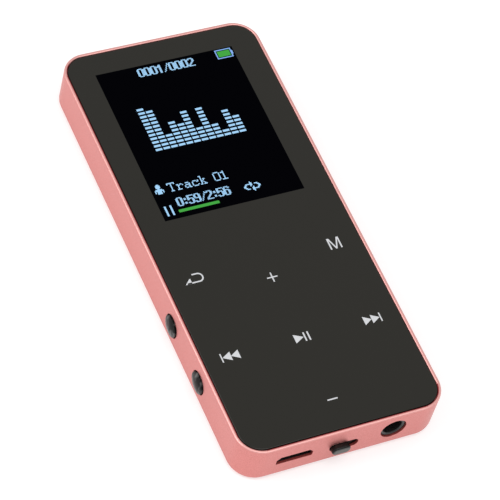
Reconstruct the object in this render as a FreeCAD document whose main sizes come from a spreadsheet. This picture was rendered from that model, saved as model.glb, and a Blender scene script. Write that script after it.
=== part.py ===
"""Pocket digital audio player: metal frame, glass front, side buttons, power slider and inner parts.

Frame of the model: the origin is the centre of the rear face, +X runs across the width,
+Y along the length towards the display, and +Z out of the front glass.  The end wall with
the sockets is at -Y and the wall with the two buttons is at -X.  Sizes are in millimetres.
"""
import FreeCAD, Part
import math
import os
import re

import Sketcher

doc = FreeCAD.newDocument("audio_player")
Vector = FreeCAD.Vector

# ---------------------------------------------------------------- driving dimensions

SIZES = {
    # metal case
    "case_width": 40.0,
    "case_length": 91.25,
    "case_depth": 9.0,
    "case_corner": 5.0,
    "rear_round": 1.2,
    "front_bevel": 0.3,
    "wall": 1.8,
    "boss_side": 4.8,
    "boss_inset": 4.0,
    "boss_height": 4.75,
    "pilot_radius": 0.75,
    "rib_length": 12.0,
    "rib_reach": 1.6,
    "rib_thickness": 0.8,
    # rear cover and its screws
    "cover_gap": 0.1,
    "cover_thickness": 0.8,
    "cover_hole": 0.8,
    "countersink": 0.55,
    "screw_radius": 0.7,
    "screw_head_radius": 1.3,
    "screw_head_depth": 0.6,
    "screw_length": 3.4,
    "screw_recess": 0.05,
    "cross_width": 0.25,
    "cross_length": 1.3,
    "cross_depth": 0.35,
    # glass front
    "lens_width": 38.45,
    "lens_length": 89.6,
    "lens_thickness": 1.0,
    "lens_corner": 4.0,
    "lens_gap": 0.1,
    "lens_below_rim": 0.05,
    "lens_bevel": 0.12,
    "tape_thickness": 0.15,
    "tape_width": 0.95,
    # touch key film
    "film_width": 35.0,
    "film_length": 38.2,
    "film_thickness": 0.12,
    "film_top_y": -4.5,
    "tail_width": 4.0,
    "tail_x": -10.5,
    "tail_clear": 0.9,
    "tail_height": 0.6,
    "tail_bend": 0.5,
    # display module
    "window_y": 22.9,
    "window_width": 28.03,
    "window_length": 35.04,
    "module_width": 34.0,
    "module_length": 45.8,
    "module_y": 20.0,
    "module_level": 5.3,
    "backlight_thickness": 1.4,
    "panel_width": 33.2,
    "panel_length": 42.0,
    "panel_thickness": 0.95,
    "gasket_border": 1.0,
    "flex_width": 12.0,
    "flex_thickness": 0.15,
    "flex_level": 6.0,
    "flex_height": 0.55,
    "flex_bend": 0.6,
    "lcd_socket_y": -6.2,
    "touch_socket_y": -6.4,
    # inner chassis
    "chassis_gap": 0.2,
    "chassis_top": 7.7,
    "shelf_thickness": 0.5,
    "module_gap": 0.2,
    "chassis_rail": 1.0,
    "passage_y": -4.25,
    "passage_length": 2.5,
    "passage_width": 27.0,
    "post_radius": 1.4,
    "post_hole": 0.45,
    # main board
    "board_level": 2.6,
    "board_thickness": 0.8,
    "board_width": 35.6,
    "board_bottom_y": -43.0,
    "board_top_y": -1.0,
    "board_corner": 0.8,
    "board_screw_radius": 0.4,
    "board_screw_head": 1.0,
    "board_screw_head_depth": 0.4,
    "board_screw_length": 2.6,
    # parts soldered to the board
    "processor_side": 7.0,
    "processor_height": 0.9,
    "flash_width": 12.0,
    "flash_length": 18.0,
    "flash_height": 1.0,
    "power_chip_side": 3.0,
    "power_chip_height": 0.8,
    "crystal_width": 3.2,
    "crystal_length": 2.5,
    "crystal_height": 0.7,
    "socket_height": 1.0,
    "small_part_length": 1.0,
    "small_part_width": 0.5,
    "large_part_length": 1.6,
    "large_part_width": 0.8,
    "coil_length": 2.0,
    "coil_width": 1.6,
    "coil_height": 1.2,
    "lcd_socket_width": 13.0,
    "lcd_socket_length": 2.8,
    "touch_socket_width": 5.0,
    "touch_socket_length": 2.4,
    # battery
    "battery_width": 30.0,
    "battery_length": 36.0,
    "battery_thickness": 3.6,
    "battery_y": 20.5,
    "battery_level": 1.0,
    "battery_round": 1.4,
    "guard_width": 26.0,
    "guard_thickness": 1.0,
    "guard_height": 3.0,
    "guard_level": 1.4,
    "lead_diameter": 0.7,
    "lead_bend": 1.6,
    # side buttons and their switches
    "button_level": 4.3,
    "button_up_y": -13.8,
    "button_down_y": -26.25,
    "button_hole": 2.3,
    "button_radius": 2.15,
    "button_dome": 0.3,
    "button_proud": 0.6,
    "button_flange": 2.75,
    "button_flange_thickness": 0.45,
    "button_play": 0.1,
    "key_length": 2.7,
    "key_width": 3.6,
    "key_height": 1.7,
    "key_front": 16.7,
    "plunger_width": 1.4,
    "plunger_height": 0.8,
    "plunger_depth": 0.4,
    # power slider and its switch
    "slider_level": 4.1,
    "slot_length": 5.6,
    "slot_height": 2.2,
    "slot_skin": 0.5,
    "knob_length": 3.6,
    "knob_height": 1.9,
    "knob_proud": 1.1,
    "knob_round": 0.2,
    "slider_travel": 1.7,
    "slide_plate_length": 8.6,
    "slide_plate_height": 2.8,
    "slide_plate_thickness": 0.45,
    "prong_width": 0.5,
    "prong_length": 0.35,
    "can_width": 6.6,
    "can_length": 2.6,
    "can_height": 1.4,
    "can_wall": 0.2,
    "can_front_y": -42.8,
    "lever_width": 1.2,
    "lever_height": 0.7,
    "lever_head": 2.0,
    "lever_head_length": 0.9,
    # charging and data socket
    "usb_x": -9.7,
    "usb_level": 4.85,
    "usb_width": 6.9,
    "usb_height": 1.9,
    "usb_chamfer": 0.75,
    "usb_slot_gap": 0.05,
    "usb_wall": 0.25,
    "usb_depth": 5.0,
    "usb_skin": 0.5,
    "tongue_width": 3.7,
    "tongue_thickness": 0.6,
    "usb_pitch": 0.65,
    "usb_strip": 0.3,
    "usb_strip_thickness": 0.1,
    "usb_leg_thickness": 0.15,
    "usb_foot_length": 0.8,
    "usb_base_length": 1.2,
    "usb_blade_short": 0.6,
    # audio socket
    "jack_x": 9.6,
    "jack_level": 5.0,
    "jack_hole": 2.475,
    "jack_nose": 2.375,
    "jack_recess": 0.35,
    "jack_bore": 1.8,
    "jack_lead_in": 0.2,
    "jack_width": 4.9,
    "jack_height": 4.8,
    "jack_back_y": -32.6,
    "jack_run_out": 3.0,
    "jack_window_length": 1.8,
    "jack_window_height": 1.6,
    "jack_leaf_length": 1.4,
    "jack_leaf_height": 1.3,
    "jack_leaf_thickness": 0.15,
    "jack_leg_thickness": 0.2,
    "jack_foot_length": 0.9,
    "jack_row_inset": 2.2,
    "jack_row_pitch": 4.0,
}

sheet = doc.addObject("Spreadsheet::Sheet", "Sizes")
for row, (alias, number) in enumerate(SIZES.items(), start=1):
    sheet.set("A%d" % row, alias)
    sheet.set("B%d" % row, str(number))
    sheet.setAlias("B%d" % row, alias)
doc.recompute()

NODES = []


# ---------------------------------------------------------------- helpers

def formula(text):
    """The expression text with every alias of the sheet written as Sizes.alias."""
    def name(match):
        word = match.group()
        return "Sizes." + word if word in SIZES else word
    return re.sub(r"[a-z][a-z_]*", name, str(text))


def value(text):
    """The number that an expression over the sheet's aliases gives."""
    return float(sheet.evalExpression(formula(text)))


def bind(item, **expressions):
    """Ties properties of a document object to expressions over the sheet."""
    for prop, text in expressions.items():
        item.setExpression(prop.replace("__", "."), formula(text))
    return item


def place(item, x, y, z):
    """Ties an object's position to expressions over the sheet."""
    return bind(item, Placement__Base__x=x, Placement__Base__y=y, Placement__Base__z=z)


def node(item, label):
    """Names a finished sub-part, which is written out under that name."""
    item.Label = label
    NODES.append(item)
    return item


def block(name, width, length, height, x, y, z):
    """A box centred on x and y, standing on z."""
    item = doc.addObject("Part::Box", name)
    bind(item, Length=width, Width=length, Height=height)
    return place(item, "%s - (%s)/2" % (x, width), "%s - (%s)/2" % (y, length), z)


def rod(name, radius, length, x, y, z, along=Vector(0, 0, 1)):
    """A cylinder that starts at a point and runs along an axis."""
    item = doc.addObject("Part::Cylinder", name)
    item.Placement.Rotation = FreeCAD.Rotation(Vector(0, 0, 1), along)
    bind(item, Radius=radius, Height=length)
    return place(item, x, y, z)


def fuse(name, *items):
    item = doc.addObject("Part::MultiFuse", name)
    item.Shapes = list(items)
    return item


def cut(name, base, *tools):
    """The base without the tools; it must lose volume."""
    item = doc.addObject("Part::Cut", name)
    item.Base = base
    item.Tool = tools[0] if len(tools) == 1 else fuse(name + "_tools", *tools)
    doc.recompute()
    if item.Shape.Volume >= base.Shape.Volume - 1e-6:
        raise RuntimeError(name + ": the cut removes nothing")
    return item


def group(name, *items):
    item = doc.addObject("Part::Compound", name)
    item.Links = list(items)
    return item


def new_body(name):
    return doc.addObject("PartDesign::Body", name)


def new_sketch(body, name, role, level):
    """A sketch on one of the body's origin planes, moved out along the plane's normal."""
    sketch = body.newObject("Sketcher::SketchObject", name)
    plane = [item for item in body.Origin.OriginFeatures if item.Role == role][0]
    sketch.AttachmentSupport = (plane, "")
    sketch.MapMode = "FlatFace"
    bind(sketch, AttachmentOffset__Base__z=level)
    return sketch


def dimension(sketch, kind, name, text, *where):
    """Adds a named dimension to a sketch and ties it to an expression."""
    index = sketch.addConstraint(Sketcher.Constraint(kind, *where, value(text)))
    sketch.renameConstraint(index, name)
    sketch.setExpression("Constraints." + name, formula(text))


def rounded_sketch(body, name, role, level, width, length, corner, x="0", y="0"):
    """A rectangle with round corners, centred on x and y of the plane."""
    sketch = new_sketch(body, name, role, level)
    half_w, half_l, r = value(width) / 2, value(length) / 2, value(corner)
    cx, cy = value(x), value(y)
    corners = [(1, -1), (1, 1), (-1, 1), (-1, -1)]
    for index, (sx, sy) in enumerate(corners):
        centre = Vector(cx + sx * (half_w - r), cy + sy * (half_l - r), 0)
        start = math.radians(-90 + 90 * index)
        circle = Part.Circle(centre, Vector(0, 0, 1), r)
        sketch.addGeometry(Part.ArcOfCircle(circle, start, start + math.pi / 2))
    for index in range(4):
        a = sketch.Geometry[index].EndPoint
        b = sketch.Geometry[(index + 1) % 4].StartPoint
        sketch.addGeometry(Part.LineSegment(a, b))
    for index in range(4):
        line = 4 + index
        sketch.addConstraint(Sketcher.Constraint("Tangent", index, 2, line, 1))
        sketch.addConstraint(Sketcher.Constraint("Tangent", line, 2, (index + 1) % 4, 1))
        sketch.addConstraint(Sketcher.Constraint("Horizontal" if index % 2 else "Vertical", line))
    for index in range(3):
        sketch.addConstraint(Sketcher.Constraint("Equal", index, index + 1))
    dimension(sketch, "Radius", "corner", corner, 0)
    dimension(sketch, "DistanceX", "width", width, 6, 2, 4, 1)
    dimension(sketch, "DistanceY", "length", length, 7, 1, 5, 1)
    dimension(sketch, "DistanceX", "right", "(%s) + (%s)/2" % (x, width), -1, 1, 4, 1)
    dimension(sketch, "DistanceY", "top", "(%s) + (%s)/2" % (y, length), -1, 1, 5, 1)
    return sketch


def circle_sketch(body, name, role, level, radius, centres):
    """Equal circles; centres are pairs of expressions."""
    sketch = new_sketch(body, name, role, level)
    for index, (x, y) in enumerate(centres):
        centre = Vector(value(x), value(y), 0)
        sketch.addGeometry(Part.Circle(centre, Vector(0, 0, 1), value(radius)))
        dimension(sketch, "Radius", "radius_%d" % index, radius, index)
        dimension(sketch, "DistanceX", "x_%d" % index, x, -1, 1, index, 3)
        dimension(sketch, "DistanceY", "y_%d" % index, y, -1, 1, index, 3)
    return sketch


def polygon_sketch(body, name, role, level, corners):
    """A closed polygon; corners are pairs of expressions."""
    sketch = new_sketch(body, name, role, level)
    points = [Vector(value(x), value(y), 0) for x, y in corners]
    count = len(points)
    for index in range(count):
        sketch.addGeometry(Part.LineSegment(points[index], points[(index + 1) % count]))
    for index in range(count):
        sketch.addConstraint(Sketcher.Constraint("Coincident", index, 2, (index + 1) % count, 1))
        dimension(sketch, "DistanceX", "x_%d" % index, corners[index][0], -1, 1, index, 1)
        dimension(sketch, "DistanceY", "y_%d" % index, corners[index][1], -1, 1, index, 1)
    return sketch


def pad(body, sketch, length):
    feature = body.newObject("PartDesign::Pad", sketch.Name + "_pad")
    feature.Profile = sketch
    bind(feature, Length=length)
    doc.recompute()
    return feature


def pocket(body, sketch, length, reverse=False):
    """Cuts against the sketch's normal, or along it when reversed; it must lose volume."""
    before = body.Shape.Volume
    feature = body.newObject("PartDesign::Pocket", sketch.Name + "_pocket")
    feature.Profile = sketch
    feature.Reversed = reverse
    bind(feature, Length=length)
    doc.recompute()
    if body.Shape.Volume >= before - 1e-6:
        raise RuntimeError(feature.Name + ": the pocket removes nothing")
    return feature


def dress(body, kind, name, size, test):
    """A fillet or chamfer on the edges of the body's tip that pass the test."""
    base = body.Tip
    edges = ["Edge%d" % (i + 1) for i, edge in enumerate(base.Shape.Edges) if test(edge)]
    feature = body.newObject("PartDesign::" + kind, name)
    feature.Base = (base, edges)
    bind(feature, **{"Radius" if kind == "Fillet" else "Size": size})
    doc.recompute()
    return feature


def flat_at(level):
    """Tests for edges that lie in the plane z = level."""
    def test(edge):
        box = edge.BoundBox
        return abs(box.ZMin - level) < 1e-4 and abs(box.ZMax - level) < 1e-4
    return test


def tangent_path(points, radius):
    """Straight runs through the points, joined at each inner point by an arc of the radius."""
    edges = []
    start = points[0]
    for before, corner, after in zip(points, points[1:], points[2:]):
        inward = (before - corner).normalize()
        outward = (after - corner).normalize()
        half = inward.getAngle(outward) / 2
        reach = radius / math.tan(half)
        first = corner + inward * reach
        last = corner + outward * reach
        bisector = (inward + outward).normalize()
        middle = corner + bisector * (radius / math.sin(half) - radius)
        edges.append(Part.LineSegment(start, first).toShape())
        edges.append(Part.Arc(first, middle, last).toShape())
        start = last
    edges.append(Part.LineSegment(start, points[-1]).toShape())
    return Part.Wire(edges)


def swept(name, path, profile, area):
    """A solid of constant section along a path; its volume is compared with section times length."""
    solid = path.makePipeShell([profile], True, False)
    if abs(solid.Volume / (area * path.Length) - 1) > 0.03:
        raise RuntimeError(name + ": the sweep's volume is wrong")
    item = doc.addObject("Part::Feature", name)
    item.Shape = solid
    return item


def strip(name, points, radius, width, thickness):
    """A flat ribbon along a path in a plane of constant x, as wide as given along x."""
    path = tangent_path(points, radius)
    start = points[0]
    side = Vector(width / 2, 0, 0)
    up = Vector(0, 0, thickness / 2)
    ring = [start - side - up, start + side - up, start + side + up, start - side + up]
    profile = Part.makePolygon(ring + ring[:1])
    return swept(name, path, profile, width * thickness)


# Levels and places that several sub-parts share, as expressions over the sheet.
CAVITY_WIDTH = "(case_width - 2*wall)"
CAVITY_LENGTH = "(case_length - 2*wall)"
CAVITY_CORNER = "(case_corner - wall)"
BOSS_X = "(case_width/2 - boss_inset)"
BOSS_Y = "(case_length/2 - boss_inset)"
LENS_TOP = "(case_depth - lens_below_rim)"
LENS_REAR = "(case_depth - lens_below_rim - lens_thickness)"
LEDGE = "(case_depth - lens_below_rim - lens_thickness - tape_thickness)"
BOARD_TOP = "(board_level + board_thickness)"
SHELF = "boss_height"
PANEL_REAR = "(module_level + backlight_thickness)"
PANEL_FRONT = "(module_level + backlight_thickness + panel_thickness)"
PANEL_Y = "(module_y + module_length/2 - panel_length/2)"
KNOB_X = "(-slider_travel/2)"
CORNER_SIGNS = [(-1, -1), (1, -1), (1, 1), (-1, 1)]

# Places (x, y) on the main board: its screw posts, then the parts soldered to its front side.
POSTS = [(-14.5, -7.4), (14.5, -7.4), (15.2, -30.4), (-11.5, -33.5)]
CHIPS = [("processor_chip", "processor_side", "processor_side", "processor_height", -6.0, -22.0),
         ("flash_chip", "flash_width", "flash_length", "flash_height", 8.8, -19.2),
         ("power_chip", "power_chip_side", "power_chip_side", "power_chip_height", 4.5, -33.5),
         ("clock_crystal", "crystal_width", "crystal_length", "crystal_height", -6.0, -15.5)]
SMALL_PART_PLACES = [(x, y) for x in (-8.6, -7.1, -5.6, -4.1, -2.6) for y in (-29.3, -31.0)]
LARGE_PART_PLACES = [(-11.2, -22.0), (-11.2, -19.5), (2.0, -33.6), (2.0, -36.2), (-1.6, -36.4)]
COIL_PLACES = [(-2.6, -34.1)]
LEAD_PLACES = (("battery_lead_red", 8.4), ("battery_lead_black", 10.2))


# ---------------------------------------------------------------- case

def usb_outline(grow):
    """The socket's outline: wide on the rear side, with two cut corners on the front side."""
    half = "(usb_width/2 + %s)" % grow
    low = "(usb_level - usb_height/2 - %s)" % grow
    high = "(usb_level + usb_height/2 + %s)" % grow
    step = "usb_chamfer"
    return [
        ("usb_x - " + half, low),
        ("usb_x + " + half, low),
        ("usb_x + " + half, "%s - %s" % (high, step)),
        ("usb_x + %s - %s" % (half, step), high),
        ("usb_x - %s + %s" % (half, step), high),
        ("usb_x - " + half, "%s - %s" % (high, step)),
    ]


def body_frame():
    """Machined aluminium ring: outer skin, glass seat, cavity, corner bosses and wall openings."""
    body = new_body("body_frame")
    outline = rounded_sketch(body, "case_outline", "XY_Plane", "0",
                             "case_width", "case_length", "case_corner")
    pad(body, outline, "case_depth")
    dress(body, "Fillet", "rear_edge_round", "rear_round", flat_at(0))
    dress(body, "Chamfer", "front_edge_bevel", "front_bevel", flat_at(value("case_depth")))

    seat = rounded_sketch(body, "glass_seat", "XY_Plane", "case_depth",
                          "lens_width + 2*lens_gap", "lens_length + 2*lens_gap",
                          "lens_corner + lens_gap")
    pocket(body, seat, "case_depth - %s" % LEDGE)
    cavity = rounded_sketch(body, "cavity", "XY_Plane", "case_depth",
                            CAVITY_WIDTH, CAVITY_LENGTH, CAVITY_CORNER)
    pocket(body, cavity, "case_depth")

    for index, (sx, sy) in enumerate(CORNER_SIGNS):
        boss = rounded_sketch(body, "boss_%d" % index, "XY_Plane", "cover_thickness",
                              "boss_side", "boss_side", "boss_side/4",
                              "%d*%s" % (sx, BOSS_X), "%d*%s" % (sy, BOSS_Y))
        pad(body, boss, "boss_height - cover_thickness")
    for index, sx in enumerate((-1, 1)):
        rib = rounded_sketch(body, "rib_%d" % index, "XY_Plane", "cover_thickness",
                             "2*rib_reach", "rib_length", "rib_reach/4",
                             "%d*%s/2" % (sx, CAVITY_WIDTH))
        pad(body, rib, "rib_thickness")
    pilots = circle_sketch(body, "pilot_holes", "XY_Plane", "cover_thickness", "pilot_radius",
                           [("%d*%s" % (sx, BOSS_X), "%d*%s" % (sy, BOSS_Y))
                            for sx, sy in CORNER_SIGNS])
    pocket(body, pilots, "screw_length", reverse=True)

    buttons = circle_sketch(body, "button_holes", "YZ_Plane", "-case_width/2", "button_hole",
                            [("button_up_y", "button_level"), ("button_down_y", "button_level")])
    pocket(body, buttons, "2*wall", reverse=True)
    jack = circle_sketch(body, "jack_opening", "XZ_Plane", "case_length/2", "jack_hole",
                         [("jack_x", "jack_level")])
    pocket(body, jack, "2*wall")
    slot = rounded_sketch(body, "slider_slot", "XZ_Plane", "case_length/2",
                          "slot_length", "slot_height", "slot_height/2 - 0.01",
                          "0", "slider_level")
    pocket(body, slot, "2*wall")
    recess = rounded_sketch(body, "slider_recess", "XZ_Plane", "case_length/2 - slot_skin",
                            "slide_plate_length + slider_travel + 0.6",
                            "slide_plate_height + 0.4", "0.4", "0", "slider_level")
    pocket(body, recess, "2*wall")
    socket = polygon_sketch(body, "usb_opening", "XZ_Plane", "case_length/2",
                            usb_outline("usb_slot_gap"))
    pocket(body, socket, "2*wall")
    relief = rounded_sketch(body, "usb_relief", "XZ_Plane", "case_length/2 - usb_skin",
                            "usb_width + 4*usb_wall", "usb_height + 4*usb_wall", "usb_wall",
                            "usb_x", "usb_level")
    pocket(body, relief, "2*wall")
    return node(body, "body_frame")


def rear_cover():
    """Flat aluminium plate set into the ring, with four countersunk holes."""
    body = new_body("rear_cover")
    outline = rounded_sketch(body, "cover_outline", "XY_Plane", "0",
                             "%s - 2*cover_gap" % CAVITY_WIDTH,
                             "%s - 2*cover_gap" % CAVITY_LENGTH,
                             "%s - cover_gap" % CAVITY_CORNER)
    pad(body, outline, "cover_thickness")
    holes = circle_sketch(body, "cover_holes", "XY_Plane", "cover_thickness", "cover_hole",
                          [("%d*%s" % (sx, BOSS_X), "%d*%s" % (sy, BOSS_Y))
                           for sx, sy in CORNER_SIGNS])
    pocket(body, holes, "cover_thickness")
    limit = 2 * value("cover_hole") + 0.1

    def hole_edge(edge):
        return flat_at(0)(edge) and edge.BoundBox.XLength < limit and edge.BoundBox.YLength < limit
    dress(body, "Chamfer", "countersinks", "countersink", hole_edge)
    return node(body, "rear_cover")


def rear_cover_screws():
    """Four countersunk cross-head screws that hold the cover to the corner bosses."""
    screws = []
    for index, (sx, sy) in enumerate(CORNER_SIGNS):
        x = "%d*%s" % (sx, BOSS_X)
        y = "%d*%s" % (sy, BOSS_Y)
        shank = rod("cover_shank_%d" % index, "screw_radius", "screw_length", x, y, "screw_recess")
        head = doc.addObject("Part::Cone", "cover_head_%d" % index)
        bind(head, Radius1="screw_head_radius", Radius2="screw_radius", Height="screw_head_depth")
        place(head, x, y, "screw_recess")
        solid = fuse("cover_blank_%d" % index, shank, head)
        bars = [block("cover_cross_%d_%d" % (index, turn), *size, "2*cross_depth", x, y,
                      "screw_recess - cross_depth")
                for turn, size in enumerate((("cross_length", "cross_width"),
                                             ("cross_width", "cross_length")))]
        screws.append(cut("cover_screw_%d" % index, solid, *bars))
    return node(group("rear_cover_screws", *screws), "rear_cover_screws")


# ---------------------------------------------------------------- glass front and touch film

def front_lens():
    """Full-size cover glass with a bevelled front edge."""
    body = new_body("front_lens")
    outline = rounded_sketch(body, "lens_outline", "XY_Plane", LENS_REAR,
                             "lens_width", "lens_length", "lens_corner")
    pad(body, outline, "lens_thickness")
    dress(body, "Chamfer", "lens_edge", "lens_bevel", flat_at(value(LENS_TOP)))
    return node(body, "front_lens")


def lens_adhesive():
    """Die-cut tape ring between the glass and the ledge of the ring."""
    body = new_body("lens_adhesive")
    outer = rounded_sketch(body, "tape_outer", "XY_Plane", LEDGE,
                           "lens_width - 0.1", "lens_length - 0.1", "lens_corner")
    pad(body, outer, "tape_thickness")
    inner = rounded_sketch(body, "tape_inner", "XY_Plane", LENS_REAR,
                           "lens_width - 2*tape_width", "lens_length - 2*tape_width",
                           "lens_corner - tape_width")
    pocket(body, inner, "tape_thickness")
    return node(body, "lens_adhesive")


def touch_sensor():
    """Printed film behind the glass under the touch keys, with a tail down to the board."""
    level = "%s - film_thickness" % LENS_REAR
    film = block("touch_film", "film_width", "film_length", "film_thickness",
                 "0", "film_top_y - film_length/2", level)
    x = value("tail_x")
    top = value(level) + value("film_thickness") / 2
    edge = value("film_top_y")
    low = value(BOARD_TOP) + value("tail_height")
    turn_y = edge + value("tail_clear")
    points = [Vector(x, edge - 0.3, top), Vector(x, turn_y, top),
              Vector(x, turn_y, low), Vector(x, value("touch_socket_y"), low)]
    tail = strip("touch_tail", points, value("tail_bend"), value("tail_width"), value("film_thickness"))
    return node(fuse("touch_sensor", film, tail), "touch_sensor")


# ---------------------------------------------------------------- display module

def lcd_backlight():
    """Backlight tray of the display module: light guide and frame, as one block."""
    body = new_body("lcd_backlight")
    outline = rounded_sketch(body, "tray_outline", "XY_Plane", "module_level",
                             "module_width", "module_length", "0.5", "0", "module_y")
    pad(body, outline, "backlight_thickness")
    return node(body, "lcd_backlight")


def lcd_panel():
    """Liquid crystal glass with its polarisers."""
    panel = block("lcd_panel", "panel_width", "panel_length", "panel_thickness",
                  "0", PANEL_Y, PANEL_REAR)
    return node(panel, "lcd_panel")


def lcd_gasket():
    """Black foam frame between the panel and the glass, open over the picture area."""
    depth = "%s - %s" % (LENS_REAR, PANEL_FRONT)
    outer = block("gasket_outer", "panel_width", "panel_length", depth, "0", PANEL_Y, PANEL_FRONT)
    inner = block("gasket_inner", "window_width + gasket_border", "window_length + gasket_border",
                  "2*(%s)" % depth, "0", "window_y", "%s - 0.1" % PANEL_FRONT)
    return node(cut("lcd_gasket", outer, inner), "lcd_gasket")


def lcd_flex():
    """Flat cable from the module's lower end down to its connector on the board."""
    start_y = value("module_y - module_length/2")
    top = value("flex_level")
    low = value(BOARD_TOP) + value("flex_height")
    turn_y = value("passage_y")
    points = [Vector(0, start_y, top), Vector(0, turn_y, top),
              Vector(0, turn_y, low), Vector(0, value("lcd_socket_y"), low)]
    flex = strip("lcd_flex", points, value("flex_bend"), value("flex_width"), value("flex_thickness"))
    return node(flex, "lcd_flex")


# ---------------------------------------------------------------- chassis

def inner_chassis():
    """Moulded carrier: tray for the display, deck under the touch keys, posts for the board."""
    body = new_body("inner_chassis")
    outline = rounded_sketch(body, "chassis_outline", "XY_Plane", SHELF,
                             "%s - 2*chassis_gap" % CAVITY_WIDTH,
                             "%s - 2*chassis_gap" % CAVITY_LENGTH,
                             "%s - chassis_gap" % CAVITY_CORNER)
    pad(body, outline, "chassis_top - %s" % SHELF)
    tray = rounded_sketch(body, "display_tray", "XY_Plane", "chassis_top",
                          "module_width + 2*module_gap", "module_length + 2*module_gap", "0.5",
                          "0", "module_y")
    pocket(body, tray, "chassis_top - %s - shelf_thickness" % SHELF)
    under = rounded_sketch(body, "under_deck", "XY_Plane", SHELF,
                           "%s - 2*chassis_gap - 2*chassis_rail" % CAVITY_WIDTH,
                           "passage_y + passage_length/2 + case_length/2", "0.5",
                           "0", "(passage_y - passage_length/2 - passage_length/2 - case_length/2)/2")
    pocket(body, under, "chassis_top - %s - shelf_thickness" % SHELF, reverse=True)
    passage = rounded_sketch(body, "flex_passage", "XY_Plane", "chassis_top",
                             "passage_width", "passage_length", "0.5", "0", "passage_y")
    pocket(body, passage, "chassis_top - %s" % SHELF)
    bay = rounded_sketch(body, "button_bay", "XY_Plane", SHELF,
                         "4*chassis_rail + 2*chassis_gap",
                         "button_up_y - button_down_y + 4*button_flange", "0.3",
                         "-%s/2" % CAVITY_WIDTH, "(button_up_y + button_down_y)/2")
    pocket(body, bay, "chassis_top - %s - shelf_thickness" % SHELF, reverse=True)
    jack_gap = "0.15"
    jack_end = "(jack_back_y + %s)" % jack_gap
    well = rounded_sketch(body, "jack_well", "XY_Plane", "chassis_top",
                          "jack_width + 2*%s" % jack_gap, "case_length/2 + %s" % jack_end, "0.3",
                          "jack_x", "(%s - case_length/2)/2" % jack_end)
    pocket(body, well, "chassis_top - %s" % SHELF)
    posts = circle_sketch(body, "board_posts", "XY_Plane", BOARD_TOP, "post_radius", POSTS)
    pad(body, posts, "chassis_top - %s - shelf_thickness/2" % BOARD_TOP)
    holes = circle_sketch(body, "post_holes", "XY_Plane", BOARD_TOP, "post_hole", POSTS)
    pocket(body, holes, "board_screw_length", reverse=True)
    return node(body, "inner_chassis")


# ---------------------------------------------------------------- main board

def main_board():
    """Printed circuit board, cut away round the corner bosses, the buttons and the audio socket."""
    body = new_body("main_board")
    outline = rounded_sketch(body, "board_outline", "XY_Plane", "board_level",
                             "board_width", "board_top_y - board_bottom_y", "board_corner",
                             "0", "(board_top_y + board_bottom_y)/2")
    pad(body, outline, "board_thickness")
    for index, sx in enumerate((-1, 1)):
        notch = rounded_sketch(body, "boss_notch_%d" % index, "XY_Plane", BOARD_TOP,
                               "boss_side + 0.4", "2*boss_side", "0.5",
                               "%d*(%s + 0.1)" % (sx, BOSS_X), "-%s - boss_side/2" % BOSS_Y)
        pocket(body, notch, "board_thickness")
    bay = rounded_sketch(body, "board_button_bay", "XY_Plane", BOARD_TOP,
                         "board_width - 2*key_front - 0.4 + 2",
                         "button_up_y - button_down_y + 2*button_flange + 3.5", "0.3",
                         "-board_width/2 - 1", "(button_up_y + button_down_y)/2")
    pocket(body, bay, "board_thickness")
    well = rounded_sketch(body, "board_jack_well", "XY_Plane", BOARD_TOP,
                          "jack_width + 0.3", "jack_back_y - board_bottom_y + jack_run_out", "0.3",
                          "jack_x", "(jack_back_y + board_bottom_y + jack_run_out)/2 - 1")
    pocket(body, well, "board_thickness")
    holes = circle_sketch(body, "board_holes", "XY_Plane", BOARD_TOP, "board_screw_radius + 0.15",
                          POSTS)
    pocket(body, holes, "board_thickness")
    return node(body, "main_board")


def board_screws():
    """Four small pan-head screws through the board into the chassis posts."""
    screws = []
    for index, (x, y) in enumerate(POSTS):
        shank = rod("board_shank_%d" % index, "board_screw_radius",
                    "board_thickness + board_screw_length - 0.4", x, y, "board_level")
        head = rod("board_head_%d" % index, "board_screw_head", "board_screw_head_depth",
                   x, y, "board_level - board_screw_head_depth")
        solid = fuse("board_blank_%d" % index, shank, head)
        bars = [block("board_cross_%d_%d" % (index, turn), *size, "board_screw_head_depth", x, y,
                      "board_level - 1.5*board_screw_head_depth")
                for turn, size in enumerate((("board_screw_head", "cross_width"),
                                             ("cross_width", "board_screw_head")))]
        screws.append(cut("board_screw_%d" % index, solid, *bars))
    return node(group("board_screws", *screws), "board_screws")


def chips():
    """Flat packaged chips on the front side of the board."""
    for label, width, length, height, x, y in CHIPS:
        node(block(label, width, length, height, x, y, BOARD_TOP), label)


def chip_components():
    """Small resistors, capacitors and the charging coil, as a group of separate solids."""
    kinds = (("small_part", SMALL_PART_PLACES, "small_part_width"),
             ("large_part", LARGE_PART_PLACES, "large_part_width"),
             ("coil", COIL_PLACES, "coil_height"))
    parts = []
    for kind, places, height in kinds:
        for index, (x, y) in enumerate(places):
            name = "%s_component_%d" % (kind, index)
            parts.append(block(name, kind + "_length", kind + "_width", height, x, y, BOARD_TOP))
    return node(group("chip_components", *parts), "chip_components")


def flat_cable_socket(label, width, length, x, mouth_y):
    """A connector shell on the board with a mouth for a flat cable on its upper end."""
    shell = block(label + "_shell", width, length, "socket_height",
                  x, "%s - %s/2" % (mouth_y, length), BOARD_TOP)
    mouth = block(label + "_mouth", "%s - 0.6" % width, length, "0.3*socket_height",
                  x, mouth_y, BOARD_TOP + " + 0.4*socket_height")
    return node(cut(label, shell, mouth), label)


# ---------------------------------------------------------------- battery

def battery_cell():
    """Soft-pack cell with rounded long sides."""
    body = new_body("battery_cell")
    section = rounded_sketch(body, "cell_section", "XZ_Plane", "-battery_y - battery_length/2",
                             "battery_width", "battery_thickness", "battery_round",
                             "0", "battery_level + battery_thickness/2")
    pad(body, section, "battery_length")
    return node(body, "battery_cell")


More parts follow.
